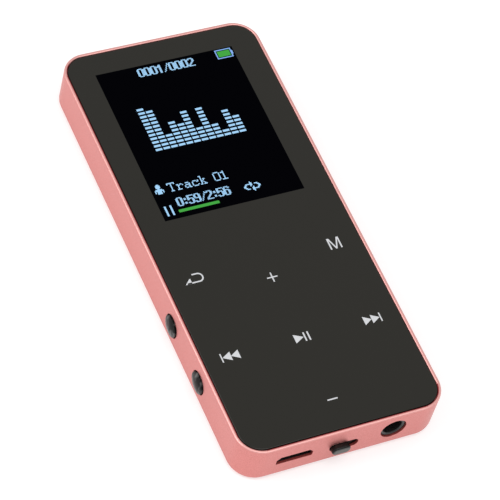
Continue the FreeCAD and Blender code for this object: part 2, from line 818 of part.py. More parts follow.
def battery_guard():
    """Protection circuit board standing at the lower end of the cell."""
    end = "battery_y - battery_length/2"
    guard = block("battery_protection_board", "guard_width", "guard_thickness", "guard_height",
                  "0", "%s - guard_thickness/2 - 0.1" % end, "guard_level")
    return node(guard, "battery_protection_board")


def battery_lead(label, x):
    """Insulated lead from the protection board to its pad on the main board."""
    r = value("lead_diameter") / 2
    start_y = value("battery_y - battery_length/2 - guard_thickness - 0.1")
    rest_z = value(BOARD_TOP) + r
    points = [Vector(x, start_y, rest_z + 0.15), Vector(x, start_y - 2.2, rest_z + 0.15),
              Vector(x + 1.6, start_y - 4.2, rest_z + 0.01), Vector(x + 1.6, start_y - 6.4, rest_z + 0.01)]
    path = tangent_path(points, value("lead_bend"))
    profile = Part.Wire(Part.makeCircle(r, points[0], Vector(0, -1, 0)))
    return node(swept(label, path, profile, math.pi * r * r), label)


def battery_tape():
    """Double-sided tape between the cell and the chassis shelf."""
    tape = block("battery_tape", "battery_width - 6", "battery_length - 8",
                 "%s - battery_level - battery_thickness" % SHELF,
                 "0", "battery_y", "battery_level + battery_thickness")
    return node(tape, "battery_tape")


# ---------------------------------------------------------------- side buttons

def side_button(label, y):
    """Domed round cap with an inner flange that keeps it in the wall."""
    wall_inside = "(-case_width/2 + wall)"
    flange_x = "(%s + button_play)" % wall_inside
    crown_x = "(-case_width/2 - button_proud)"
    stem = rod(label + "_stem", "button_radius", "%s - %s" % (flange_x, crown_x),
               crown_x, y, "button_level", Vector(1, 0, 0))
    ball = doc.addObject("Part::Sphere", label + "_ball")
    ball_radius = "((button_radius^2 + button_dome^2)/(2*button_dome))"
    bind(ball, Radius=ball_radius)
    place(ball, "%s + %s" % (crown_x, ball_radius), y, "button_level")
    domed = doc.addObject("Part::MultiCommon", label + "_domed")
    domed.Shapes = [stem, ball]
    flange = rod(label + "_flange", "button_flange", "button_flange_thickness",
                 flange_x, y, "button_level", Vector(1, 0, 0))
    return node(fuse(label, domed, flange), label)


def key_switch(label, y):
    """Side-push switch body on the edge of the board, hollow round its plunger."""
    case = block(label + "_case", "key_length", "key_width", "key_height",
                 "-key_front + key_length/2", y, BOARD_TOP)
    hollow = block(label + "_hollow", "2*(2*plunger_depth + 0.5)", "plunger_width + 0.2",
                   "plunger_height + 0.2", "-key_front", y,
                   "button_level - plunger_height/2 - 0.1")
    return node(cut(label, case, hollow), label)


def plunger(label, y):
    """Plunger of a side-push switch; its tip meets the button's flange."""
    tip = "(-case_width/2 + wall + button_play + button_flange_thickness)"
    inner = "(-key_front + plunger_depth)"
    item = block(label, "%s - %s" % (inner, tip), "plunger_width", "plunger_height",
                 "(%s + %s)/2" % (inner, tip), y, "button_level - plunger_height/2")
    return node(item, label)


# ---------------------------------------------------------------- power slider

def power_slider():
    """Sliding knob with a rounded outer face, a cover plate in the wall's recess and two prongs."""
    body = new_body("power_slider")
    plate_front = "(case_length/2 - slot_skin - 0.1)"
    plate_rear = "(%s - slide_plate_thickness)" % plate_front
    knob = rounded_sketch(body, "knob", "XZ_Plane", plate_front,
                          "knob_length", "knob_height", "knob_height/2 - 0.01",
                          KNOB_X, "slider_level")
    pad(body, knob, "case_length/2 + knob_proud - %s" % plate_front)
    outer_y = -value("case_length/2 + knob_proud")

    def outer_face(edge):
        box = edge.BoundBox
        return abs(box.YMin - outer_y) < 1e-4 and abs(box.YMax - outer_y) < 1e-4
    dress(body, "Fillet", "knob_edge", "knob_round", outer_face)
    plate = rounded_sketch(body, "slide_plate", "XZ_Plane", plate_rear,
                           "slide_plate_length", "slide_plate_height", "0.4",
                           KNOB_X, "slider_level")
    pad(body, plate, "slide_plate_thickness")
    for index, sx in enumerate((-1, 1)):
        prong = rounded_sketch(body, "prong_%d" % index, "XZ_Plane",
                               "%s - prong_length" % plate_rear,
                               "prong_width", "1.2", "0.1",
                               "%s + %d*(lever_width/2 + 0.05 + prong_width/2)" % (KNOB_X, sx),
                               "slider_level")
        pad(body, prong, "prong_length + 0.05")
    return node(body, "power_slider")


def slide_switch():
    """Metal-cased slide switch on the board and the lever that the knob's prongs carry."""
    centre_y = "(can_front_y + can_length/2)"
    case = block("slide_switch_case", "can_width", "can_length", "can_height",
                 "0", centre_y, BOARD_TOP)
    hollow = block("slide_switch_hollow", "can_width - 2*can_wall", "can_length - 2*can_wall",
                   "can_height - 2*can_wall", "0", centre_y, BOARD_TOP + " + can_wall")
    mouth = block("slide_switch_mouth", "slider_travel + lever_width + 0.2", "3*can_wall",
                  "lever_height + 0.15", "0", "can_front_y",
                  "slider_level - lever_height/2 - 0.075")
    node(cut("slide_switch_can", case, hollow, mouth), "slide_switch_can")

    plate_rear = "(-case_length/2 + slot_skin + 0.1 + slide_plate_thickness)"
    head_front = "(can_front_y + can_wall + 0.1)"
    stem_end = "(%s + 0.3)" % head_front
    stem = block("lever_stem", "lever_width", "%s - %s" % (stem_end, plate_rear), "lever_height",
                 KNOB_X, "(%s + %s)/2" % (stem_end, plate_rear), "slider_level - lever_height/2")
    head = block("lever_head", "lever_head", "lever_head_length", "lever_height", KNOB_X,
                 "%s + lever_head_length/2" % head_front, "slider_level - lever_height/2")
    node(fuse("slide_switch_lever", stem, head), "slide_switch_lever")


# ---------------------------------------------------------------- sockets

def usb_socket():
    """Charging and data socket: steel shell, insulator with tongue, and five contacts."""
    front = "(case_length/2 - usb_skin)"
    shell = new_body("usb_shell")
    outer = polygon_sketch(shell, "shell_outer", "XZ_Plane", "%s - usb_depth" % front,
                           usb_outline("usb_wall"))
    pad(shell, outer, "usb_depth")
    inner = polygon_sketch(shell, "shell_inner", "XZ_Plane", front, usb_outline("0"))
    pocket(shell, inner, "usb_depth")
    node(shell, "usb_shell")

    back_y = "(-%s + usb_depth)" % front
    tongue_level = "(usb_level - tongue_thickness/2)"
    base = block("usb_base", "usb_width - 2*usb_chamfer", "usb_base_length", "usb_height",
                 "usb_x", "%s - usb_base_length/2" % back_y, "usb_level - usb_height/2")
    blade_length = "(usb_depth - usb_base_length - usb_blade_short)"
    tongue = block("usb_blade", "tongue_width", blade_length + " + 0.1", "tongue_thickness", "usb_x",
                   "%s - usb_base_length + 0.05 - %s/2" % (back_y, blade_length), tongue_level)
    strips = []
    strip_length = "(usb_depth - 1.0)"
    for index in range(5):
        x = "usb_x + %d*usb_pitch" % (index - 2)
        along = block("usb_strip_%d" % index, "usb_strip", strip_length, "usb_strip_thickness", x,
                      "%s + 0.3 - %s/2" % (back_y, strip_length),
                      "%s + tongue_thickness" % tongue_level)
        down = block("usb_leg_%d" % index, "usb_strip", "usb_leg_thickness",
                     "%s + tongue_thickness + usb_strip_thickness - %s" % (tongue_level, BOARD_TOP), x,
                     "%s + 0.3" % back_y, BOARD_TOP)
        foot = block("usb_foot_%d" % index, "usb_strip", "usb_foot_length", "0.12", x,
                     "%s + 0.6" % back_y, BOARD_TOP)
        strips.append(fuse("usb_contact_%d" % index, along, down, foot))
    contacts = group("usb_contacts", *strips)
    node(cut("usb_tongue", fuse("usb_moulding", base, tongue), contacts), "usb_tongue")
    node(contacts, "usb_contacts")


def jack_socket():
    """Audio socket: moulded housing with a round nose and bore, and four spring contacts."""
    wall_inside = "(case_length/2 - wall)"
    housing = new_body("jack_moulding")
    block_length = "(%s - 0.2 + jack_back_y)" % wall_inside
    section = rounded_sketch(housing, "jack_block", "XZ_Plane", "-jack_back_y",
                             "jack_width", "jack_height", "0.3", "jack_x", "jack_level")
    pad(housing, section, block_length)
    nose = circle_sketch(housing, "jack_nose_circle", "XZ_Plane", "%s - 0.3" % wall_inside,
                         "jack_nose", [("jack_x", "jack_level")])
    pad(housing, nose, "wall - jack_recess + 0.3")
    mouth_y = -value("case_length/2 - jack_recess")
    bore = circle_sketch(housing, "jack_bore_circle", "XZ_Plane", "case_length/2 - jack_recess",
                         "jack_bore", [("jack_x", "jack_level")])
    pocket(housing, bore, "case_length/2 - jack_recess + jack_back_y + 1")
    limit = 2 * value("jack_bore") + 0.1

    def mouth_edge(edge):
        box = edge.BoundBox
        return abs(box.YMin - mouth_y) < 1e-4 and abs(box.YMax - mouth_y) < 1e-4 \
            and box.XLength < limit
    dress(housing, "Chamfer", "jack_lead_in_edge", "jack_lead_in", mouth_edge)

    contacts, windows = [], []
    first_row = value("jack_back_y - jack_row_inset")
    rows = [first_row, first_row - value("jack_row_pitch")]
    for index, (side, y) in enumerate([(s, y) for y in rows for s in (-1, 1)]):
        def at(offset):
            return "jack_x + %d*(%s)" % (side, offset)
        windows.append(block("jack_window_%d" % index, "jack_width/2 - jack_bore + 0.4",
                             "jack_window_length", "jack_window_height",
                             at("(jack_bore + jack_width/2)/2"), y,
                             "jack_level - jack_window_height/2"))
        leaf = block("jack_leaf_%d" % index, "jack_leaf_thickness", "jack_leaf_length", "jack_leaf_height",
                     at("jack_bore + 0.12"), y, "jack_level - jack_leaf_height/2")
        link = block("jack_link_%d" % index, "0.95", "0.3", "jack_leaf_height",
                     at("jack_bore + 0.5"), y + 0.5, "jack_level - jack_leaf_height/2")
        leg = block("jack_leg_%d" % index, "jack_leg_thickness", "jack_foot_length",
                    "jack_level + jack_leaf_height/2 - %s" % BOARD_TOP,
                    at("jack_width/2 + 0.25"), y + 0.2, BOARD_TOP)
        foot = block("jack_foot_%d" % index, "0.7", "jack_foot_length", "jack_leaf_thickness",
                     at("jack_width/2 + 0.6"), y + 0.2, BOARD_TOP)
        contacts.append(fuse("jack_contact_%d" % index, leaf, link, leg, foot))
    node(cut("jack_windowed", housing, *windows), "jack_housing")
    node(group("jack_contacts", *contacts), "jack_contacts")


# ---------------------------------------------------------------- assembly

def build():
    body_frame()
    rear_cover()
    rear_cover_screws()
    front_lens()
    lens_adhesive()
    touch_sensor()
    lcd_backlight()
    lcd_panel()
    lcd_gasket()
    lcd_flex()
    inner_chassis()
    main_board()
    board_screws()
    chips()
    chip_components()
    flat_cable_socket("lcd_connector", "lcd_socket_width", "lcd_socket_length", "0", "lcd_socket_y")
    flat_cable_socket("touch_connector", "touch_socket_width", "touch_socket_length",
                      "tail_x", "touch_socket_y")
    battery_cell()
    battery_guard()
    for label, x in LEAD_PLACES:
        battery_lead(label, x)
    battery_tape()
    for word, y in (("up", "button_up_y"), ("down", "button_down_y")):
        side_button("volume_%s_button" % word, y)
        key_switch("volume_%s_switch" % word, y)
        plunger("volume_%s_plunger" % word, y)
    power_slider()
    slide_switch()
    usb_socket()
    jack_socket()


def check_and_write():
    """Every object must be sound, and every sub-part a valid solid, before anything is written."""
    doc.recompute()
    for item in doc.Objects:
        if "Invalid" in item.State or "Error" in item.State:
            raise RuntimeError("%s has failed: %s" % (item.Name, item.State))
    for item in NODES:
        shape = item.Shape
        if shape.isNull() or not shape.isValid() or shape.Volume <= 0:
            raise RuntimeError("%s has no valid shape" % item.Label)
    os.makedirs("parts", exist_ok=True)
    for item in NODES:
        item.Shape.exportStep("parts/%s.step" % item.Label)
        box = item.Shape.BoundBox
        print("%-26s solids %2d volume %9.2f  x %7.2f %7.2f  y %7.2f %7.2f  z %6.2f %6.2f" % (
            item.Label, len(item.Shape.Solids), item.Shape.Volume,
            box.XMin, box.XMax, box.YMin, box.YMax, box.ZMin, box.ZMax))


build()
check_and_write()
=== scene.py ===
import math

import bmesh
import bpy
import numpy as np
from mathutils import Matrix, Vector
from mathutils.geometry import tessellate_polygon


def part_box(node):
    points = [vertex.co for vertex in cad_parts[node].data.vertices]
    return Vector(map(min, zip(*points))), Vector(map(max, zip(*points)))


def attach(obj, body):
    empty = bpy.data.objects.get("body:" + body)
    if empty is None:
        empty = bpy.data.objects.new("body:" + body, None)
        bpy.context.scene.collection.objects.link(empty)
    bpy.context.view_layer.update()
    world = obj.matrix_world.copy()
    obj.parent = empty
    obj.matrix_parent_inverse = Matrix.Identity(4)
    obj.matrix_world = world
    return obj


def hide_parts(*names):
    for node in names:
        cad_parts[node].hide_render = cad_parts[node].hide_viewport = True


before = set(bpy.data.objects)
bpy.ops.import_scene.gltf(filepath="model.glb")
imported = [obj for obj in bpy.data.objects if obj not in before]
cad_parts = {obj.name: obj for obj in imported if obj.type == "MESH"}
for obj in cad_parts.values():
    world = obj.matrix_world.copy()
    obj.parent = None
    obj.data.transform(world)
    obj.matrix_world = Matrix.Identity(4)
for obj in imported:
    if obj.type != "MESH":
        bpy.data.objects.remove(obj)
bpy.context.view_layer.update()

# ---------------------------------------------------------------- camera
# A long lens over the player's lower left corner, rolled a little, so that the player lies across
# the picture from the upper left to the lower right.
azimuth, elevation, roll = np.radians((-36.888, 52.720, 16.961))
aim = Vector((-0.00175, -0.00520, 0.009))
distance = 0.4835
back = Vector((math.sin(azimuth) * math.cos(elevation),
               -math.cos(azimuth) * math.cos(elevation),
               math.sin(elevation)))
camera = bpy.data.objects.new("camera", bpy.data.cameras.new("camera"))
bpy.context.scene.collection.objects.link(camera)
bpy.context.scene.camera = camera
camera.data.sensor_width = 36.0
camera.data.lens = 192.88
camera.data.clip_start = 0.01
camera.data.clip_end = 10.0
camera.matrix_world = (Matrix.Translation(aim + back * distance)
                       @ (-back).to_track_quat("-Z", "Y").to_matrix().to_4x4()
                       @ Matrix.Rotation(roll, 4, "Z"))

# ---------------------------------------------------------------- studio
# White surroundings with two large soft lamps, and a matt white table that the player lies on.
bpy.context.scene.view_settings.view_transform = "Standard"
studio = bpy.data.worlds.new("studio")
studio.use_nodes = True
studio.node_tree.nodes["Background"].inputs["Color"].default_value = (1.0, 1.0, 1.0, 1.0)
studio.node_tree.nodes["Background"].inputs["Strength"].default_value = 0.66
bpy.context.scene.world = studio


def soft_lamp(name, place, side, power):
    """Square area lamp of that side at a place, facing the player."""
    light = bpy.data.lights.new(name, "AREA")
    light.size = side
    light.energy = power
    lamp = bpy.data.objects.new(name, light)
    bpy.context.scene.collection.objects.link(lamp)
    lamp.matrix_world = (Matrix.Translation(place)
                         @ (-Vector(place)).to_track_quat("-Z", "Y").to_matrix().to_4x4())


soft_lamp("lamp_left", (-0.55, 0.15, 0.50), side=0.45, power=2.0)
soft_lamp("lamp_above", (0.05, -0.25, 0.75), side=0.50, power=1.7)

table_half = 1.5
table_level = -0.0001
table_mesh = bpy.data.meshes.new("table")
table_mesh.from_pydata(
    [(-table_half, -table_half, table_level), (table_half, -table_half, table_level),
     (table_half, table_half, table_level), (-table_half, table_half, table_level)], [], [(0, 1, 2, 3)])
table = bpy.data.objects.new("table", table_mesh)
bpy.context.scene.collection.objects.link(table)
table_paint = bpy.data.materials.new("table_paint")
table_paint.use_nodes = True
table_shader = table_paint.node_tree.nodes["Principled BSDF"]
table_shader.inputs["Base Color"].default_value = (0.62, 0.62, 0.62, 1.0)
table_shader.inputs["Roughness"].default_value = 0.9
table_shader.inputs["Specular IOR Level"].default_value = 0.1
table_shader.inputs["Emission Color"].default_value = (1.0, 1.0, 1.0, 1.0)
table_shader.inputs["Emission Strength"].default_value = 0.50
table_mesh.materials.append(table_paint)

# ---------------------------------------------------------------- case ring
# One ring of aluminium, machined from the solid: a rounded outer skin, a ledge that the glass sits
# on, a cavity with four screw bosses and two ribs, and openings for two buttons, a slider and two
# sockets. It is bead-blasted, then anodised rose pink.
MM = 0.001
case_low, case_high = (np.array(corner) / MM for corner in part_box("body_frame"))
case_half = (case_high - case_low)[:2] / 2
case_top = case_high[2]
wall = 1.8
ledge_level = 7.8
rim_width = 0.675
outer_corner, seat_corner, cavity_corner = 5.0, 4.1, 3.2
corner_steps, corner_margin = 14, 0.3


def corner_outline(corners, radius, grow=0.0, steps=8, margin=0.0):
    """Closed outline (n, 2) of a convex polygon with rounded corners, anticlockwise.

    Each corner is an arc about the point that lies one radius inside both of its sides. The arc's own
    radius is radius + grow, so another grow gives the parallel outline. A margin adds a point on
    each side, that far from each arc's end."""
    corners = np.asarray(corners, dtype=float)
    along = np.roll(corners, -1, axis=0) - corners
    along /= np.linalg.norm(along, axis=1, keepdims=True)
    after = np.column_stack((along[:, 1], -along[:, 0]))
    before = np.roll(after, 1, axis=0)
    cosine = np.sum(before * after, axis=1, keepdims=True)
    centre = corners - radius * (before + after) / (1 + cosine)
    start = np.arctan2(before[:, 1], before[:, 0])[:, None]
    angle = start + np.arccos(np.clip(cosine, -1, 1)) * np.linspace(0, 1, steps + 1)
    arc = np.stack((np.cos(angle), np.sin(angle)), axis=2)
    points = centre[:, None] + (radius + grow) * arc
    if margin:
        first = points[:, :1] - margin * np.roll(along, 1, axis=0)[:, None]
        last = points[:, -1:] + margin * along[:, None]
        points = np.concatenate((first, points, last), axis=1)
    return points.reshape(-1, 2)


def oblong(half_x, half_y, centre=(0.0, 0.0)):
    """The four corners of a rectangle, anticlockwise from the lower left."""
    return np.array(((-1, -1), (1, -1), (1, 1), (-1, 1))) * (half_x, half_y) + centre


nearly = 0.01


def circle(radius, centre):
    """Round outline: a square whose corners are arcs of almost its own half side."""
    return corner_outline(oblong(radius, radius, centre), radius - nearly)


def lofted(loops, ends=(False, False)):
    """Skin over closed loops (rows, points, 3): four-sided faces join each row to the next.

    Each end may be closed by one flat face. Gives the points and a list of face arrays."""
    loops = np.asarray(loops)
    rows, count = loops.shape[:2]
    row, column = np.meshgrid(np.arange(rows - 1) * count, np.arange(count), indexing="ij")
    beside = (column + 1) % count
    faces = [np.stack((row + column, row + beside, row + count + beside, row + count + column),
                      axis=2).reshape(-1, 4)]
    if ends[0]:
        faces.append(np.arange(count)[None])
    if ends[1]:
        faces.append(np.arange((rows - 1) * count, rows * count)[None])
    return loops.reshape(-1, 3), faces


def pierced(outline, holes):
    """Flat sheet (n, 2) as triangles between its outline and the outlines of its holes."""
    loops = [np.column_stack((loop, np.zeros(len(loop)))).tolist() for loop in (outline, *holes)]
    return np.concatenate((outline, *holes)), [np.array(tessellate_polygon(loops))]


def at_height(outline, height):
    """Flat outline (n, 2) lifted to a height."""
    return np.column_stack((outline, np.full(len(outline), height)))


def upright(outline, y):
    """Outline (x, z) stood upright, facing along Y, at a distance y."""
    return np.column_stack((outline[:, 0], np.full(len(outline), y), outline[:, 1]))


def make_piece(name, patches, material, body="player", weld=True, sharp=35):
    """One object from patches of points in millimetres and faces.

    Points that coincide are welded, faces turned outwards, and edges over the sharp angle kept."""
    starts = np.cumsum([0] + [len(points) for points, _ in patches])
    faces = [face for start, (_, blocks) in zip(starts, patches)
             for block in blocks for face in (block + start).tolist()]
    mesh = bpy.data.meshes.new(name)
    mesh.from_pydata(np.concatenate([points for points, _ in patches]) * MM, [], faces)
    if weld:
        work = bmesh.new()
        work.from_mesh(mesh)
        bmesh.ops.remove_doubles(work, verts=work.verts, dist=0.002 * MM)
        bmesh.ops.recalc_face_normals(work, faces=work.faces)
        work.to_mesh(mesh)
        work.free()
    mesh.shade_smooth()
    mesh.set_sharp_from_angle(angle=math.radians(sharp))
    mesh.materials.append(material)
    piece = bpy.data.objects.new(name, mesh)
    bpy.context.scene.collection.objects.link(piece)
    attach(piece, body)
    return piece


def new_finish(name, colour, roughness, metallic=0.0, specular=0.5):
    """Material with one Principled shader and its constant values set. Gives it and its shader."""
    material = bpy.data.materials.new(name)
    material.use_nodes = True
    shader = material.node_tree.nodes["Principled BSDF"]
    shader.inputs["Base Color"].default_value = (*colour, 1.0)
    shader.inputs["Roughness"].default_value = roughness
    shader.inputs["Metallic"].default_value = metallic
    shader.inputs["Specular IOR Level"].default_value = specular
    return material, shader


def grain(material, size_mm, stretch=(1.0, 1.0, 1.0), detail=2.0):
    """Noise of a given grain size over Object coordinates. Gives its value socket."""
    tree = material.node_tree
    place = tree.nodes.new("ShaderNodeTexCoord")
    mapping = tree.nodes.new("ShaderNodeMapping")
    mapping.inputs["Scale"].default_value = stretch
    noise = tree.nodes.new("ShaderNodeTexNoise")
    noise.inputs["Scale"].default_value = 1.0 / (size_mm * MM)
    noise.inputs["Detail"].default_value = detail
    tree.links.new(place.outputs["Object"], mapping.inputs["Vector"])
    tree.links.new(mapping.outputs["Vector"], noise.inputs["Vector"])
    return noise.outputs["Fac"]


def tint(material, shader, value, dark, light, low=0.3, high=0.7, socket="Base Color"):
    """Colours a socket from dark to light as the value goes from low to high."""
    ramp = material.node_tree.nodes.new("ShaderNodeValToRGB")
    ramp.color_ramp.elements[0].position = low
    ramp.color_ramp.elements[0].color = (*dark, 1.0)
    ramp.color_ramp.elements[1].position = high
    ramp.color_ramp.elements[1].color = (*light, 1.0)
    material.node_tree.links.new(value, ramp.inputs["Fac"])
    material.node_tree.links.new(ramp.outputs["Color"], shader.inputs[socket])


def vary(material, shader, value, low, high, socket="Roughness"):
    """Lets a number on the shader run from low to high with the value."""
    span = material.node_tree.nodes.new("ShaderNodeMapRange")
    span.inputs["From Min"].default_value = 0.3
    span.inputs["From Max"].default_value = 0.7
    span.inputs["To Min"].default_value = low
    span.inputs["To Max"].default_value = high
    material.node_tree.links.new(value, span.inputs["Value"])
    material.node_tree.links.new(span.outputs["Result"], shader.inputs[socket])


def relief(material, shader, value, depth_mm, strength=1.0):
    """Raises the surface by the value, up to a depth."""
    bump = material.node_tree.nodes.new("ShaderNodeBump")
    bump.inputs["Distance"].default_value = depth_mm * MM
    bump.inputs["Strength"].default_value = strength
    material.node_tree.links.new(value, bump.inputs["Height"])
    material.node_tree.links.new(bump.outputs["Normal"], shader.inputs["Normal"])


def painted_edge_highlight(material, shader, low, high, highlight_colour):
    """Mixes a painted highlight colour into the base, from none at the low height to all of it at the high
    one.
    """
    tree = material.node_tree
    place = tree.nodes.new("ShaderNodeTexCoord")
    parts = tree.nodes.new("ShaderNodeSeparateXYZ")
    tree.links.new(place.outputs["Object"], parts.inputs["Vector"])
    span = tree.nodes.new("ShaderNodeMapRange")
    span.inputs["From Min"].default_value = low * MM
    span.inputs["From Max"].default_value = high * MM
    tree.links.new(parts.outputs["Z"], span.inputs["Value"])
    mix = tree.nodes.new("ShaderNodeMix")
    mix.data_type = "RGBA"
    mix.inputs["B"].default_value = (*highlight_colour, 1.0)
    base = shader.inputs["Base Color"]
    tree.links.new(base.links[0].from_socket, mix.inputs["A"])
    tree.links.new(span.outputs["Result"], mix.inputs["Factor"])
    tree.links.new(mix.outputs["Result"], base)


rose_metal, shader = new_finish("rose_anodised_metal", (0.66, 0.250, 0.235), roughness=0.42, metallic=0.9)
blast = grain(rose_metal, size_mm=0.16, detail=3.0)
tint(rose_metal, shader, blast, (0.600, 0.210, 0.194), (0.725, 0.282, 0.264))
# Lighter pink towards the rim's top edge: a painted highlight along the edge.
painted_edge_highlight(rose_metal, shader, low=8.74, high=8.94, highlight_colour=(0.88, 0.45, 0.42))
vary(rose_metal, shader, grain(rose_metal, size_mm=0.35), 0.36, 0.48)
relief(rose_metal, shader, blast, depth_mm=0.014, strength=0.7)
# Dark red copy of the rose metal for the walls of the openings: painted shade inside the holes.
shaded_rose, shader = new_finish("rose_metal_painted_shade", (0.30, 0.045, 0.040), roughness=0.5, metallic=0.3)
tint(shaded_rose, shader, grain(shaded_rose, size_mm=0.2), (0.25, 0.034, 0.030), (0.36, 0.056, 0.048))
# Dark red for the rim's inner edge on the left and lower sides: a painted line of shade in the gap by the
# glass.
seat_shade_rose, shader = new_finish("rose_metal_painted_seat_shade", (0.36, 0.034, 0.038), roughness=0.45, metallic=0.3)
tint(seat_shade_rose, shader, grain(seat_shade_rose, size_mm=0.2), (0.30, 0.026, 0.030), (0.42, 0.044, 0.048))

rear_round = 1.2
front_round = 0.30
inner_round = 0.24
outer_levels = (1.5, 8.4)
inner_levels = (1.2, 7.6)
quarter = np.linspace(0, math.pi / 2, 9)
short_quarter = np.linspace(0, math.pi / 2, 6)
profile = np.array(
    [(wall, 0.0), (wall - 0.1, 0.0), (rear_round + 0.15, 0.0)]
    + list(zip(rear_round * (1 - np.sin(quarter)), rear_round * (1 - np.cos(quarter))))
    + [(0.0, level) for level in outer_levels]
    + list(zip(front_round * (1 - np.cos(short_quarter)),
               case_top - front_round * (1 - np.sin(short_quarter))))
    + list(zip(rim_width - inner_round * (1 - np.sin(short_quarter)),
               case_top - inner_round * (1 - np.cos(short_quarter))))
    + [(rim_width, case_top - 0.4), (rim_width, ledge_level),
       (wall, ledge_level), (wall, inner_levels[1]), (wall, inner_levels[0]), (wall, 0.0)])
corner_radii = np.interp(profile[:, 0], (0.0, rim_width, wall),
                         (outer_corner, seat_corner, cavity_corner))
ring = np.stack([
    at_height(corner_outline(oblong(*(case_half - inset)), radius, steps=corner_steps,
                             margin=corner_margin), height)
    for (inset, height), radius in zip(profile, corner_radii)])
outer_row = int(np.argmax(profile[:, 1] == outer_levels[0]))
inner_row = int(np.argmax(profile[:, 1] == inner_levels[1]))
side_points = ring.shape[1] // 4
bottom_cell = side_points - 1
left_cell = 4 * side_points - 1

button_boxes = {node: np.array(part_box(node)) / MM
                for node in ("volume_up_button", "volume_down_button")}
button_places = {node: box.mean(axis=0)[1:] for node, box in button_boxes.items()}
slider_box = np.array(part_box("power_slider")) / MM
slider_level = slider_box.mean(axis=0)[2]
usb_box = np.array(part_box("usb_shell")) / MM
usb_place = usb_box.mean(axis=0)[[0, 2]]
jack_box = np.array(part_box("jack_housing")) / MM
jack_place = jack_box.mean(axis=0)[[0, 2]]
usb_gap = 0.05
usb_half = np.array((3.45, 0.95)) + usb_gap
usb_cut = 0.75
usb_round = 0.18
usb_relief = 0.5
usb_corners = usb_place + usb_half * ((-1, -1), (1, -1), (1, 1), (1, 1), (-1, 1), (-1, 1)) \
    + ((0, 0), (0, 0), (0, -usb_cut), (-usb_cut, 0), (usb_cut, 0), (0, -usb_cut))
button_hole = 2.3
jack_hole = 2.475
slot_half = np.array((2.8, 1.1))
slot_recess_half, slot_recess_round = (5.45, 1.6), 0.4
openings = [("left", oblong(button_hole, button_hole, place), button_hole - nearly, None)
            for place in button_places.values()]
openings += [("bottom", usb_corners, usb_round, (usb_corners, usb_round, usb_relief)),
             ("bottom", oblong(*slot_half, (0.0, slider_level)), slot_half[1] - nearly,
              (oblong(*slot_recess_half, (0.0, slider_level)), slot_recess_round)),
             ("bottom", oblong(jack_hole, jack_hole, jack_place), jack_hole - nearly, None)]


def on_wall(side, outline, depth):
    """Puts a flat outline (along the wall, height) at a depth behind a wall's outer face."""
    along, height = outline.T
    sunk = np.full(len(outline), depth)
    if side == "bottom":
        return np.column_stack((along, sunk - case_half[1], height))
    return np.column_stack((sunk - case_half[0], along, height))


edge = 0.055
edge_margin = 0.25
skin = 0.5
ring_points, ring_faces = lofted(ring)
cells = [(row, column) for row in (outer_row, inner_row) for column in (bottom_cell, left_cell)]
pierced_cells = [row * ring.shape[1] + column for row, column in cells]
ring_faces = [np.delete(ring_faces[0], pierced_cells, axis=0)]
case_patches = [(ring_points, ring_faces)]
hole_rows = [(edge + edge_margin, 0.0)] + list(zip(edge * (1 - np.sin(short_quarter)),
                                            edge * (1 - np.cos(short_quarter))))
for row, column in cells:
    side, axis = ("bottom", 0) if column == bottom_cell else ("left", 1)
    beside = (column + 1) % ring.shape[1]
    cell = ring[[row, row, row + 1, row + 1], [column, beside, beside, column]][:, [axis, 2]]
    depth = 0.0 if row == outer_row else wall
    if row == outer_row:
        holes = [corner_outline(corners, radius, hole_rows[0][0])
                 for place, corners, radius, _ in openings if place == side]
    else:
        holes = [corner_outline(*(recess or (corners, radius)))
                 for place, corners, radius, recess in openings if place == side]
    sheet, triangles = pierced(cell, holes)
    case_patches.append((on_wall(side, sheet, depth), triangles))
for side, corners, radius, recess in openings:
    rows = [(corner_outline(corners, radius, grow), depth) for grow, depth in hole_rows]
    rows.append((corner_outline(corners, radius), skin))
    if recess:
        rows.append((corner_outline(*recess), skin))
    rows.append((corner_outline(*(recess or (corners, radius))), wall))
    case_patches.append(lofted([on_wall(side, outline, depth) for outline, depth in rows]))
boss_half, boss_round, boss_inset = 2.4, 1.2, 4.0
boss_low, boss_high = 0.8, 4.75
pilot_radius, pilot_end = 0.75, 4.2
screw_places = oblong(*(case_half - boss_inset))
for place in screw_places:
    square = corner_outline(oblong(boss_half, boss_half, place), boss_round)
    pilot = circle(pilot_radius, place)
    case_patches.append(lofted([at_height(square, boss_high), at_height(square, boss_low),
                                at_height(pilot, boss_low), at_height(pilot, pilot_end)], (True, True)))
rib_half, rib_round, rib_levels = (1.6, 6.0), 0.4, (0.8, 1.6)
for x in (wall - case_half[0], case_half[0] - wall):
    rib = corner_outline(oblong(*rib_half, (x, 0.0)), rib_round)
    case_patches.append(lofted([at_height(rib, level) for level in rib_levels], (True, True)))
case_ring = make_piece("case_ring", case_patches, rose_metal)
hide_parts("body_frame")


def second_finish(piece, material, chosen):
    """Gives the faces whose centres (n, 3), in millimetres, are chosen another finish."""
    faces = piece.data.polygons
    centres, slots = np.empty(3 * len(faces)), np.empty(len(faces), dtype=np.int32)
    faces.foreach_get("center", centres)
    faces.foreach_get("material_index", slots)
    slots[chosen(centres.reshape(-1, 3) / MM)] = len(piece.data.materials)
    piece.data.materials.append(material)
    faces.foreach_set("material_index", slots)


def depth_inside(centres):
    """How far points lie inside the case's outline, a rectangle with rounded corners.

    It is the corner radius less the distance past the corners' centres, or past the nearer one of
    the two lines through them."""
    past = np.abs(centres[:, :2]) - (case_half - outer_corner)
    beyond = np.linalg.norm(np.maximum(past, 0), axis=1)
    return outer_corner - beyond - np.minimum(past.max(axis=1), 0)


opening_depths = (0.12, wall - 0.05)
opening_levels = (2.0, 7.7)
seat_depths = (rim_width - 0.22, rim_width + 0.02)
near_share = -0.9


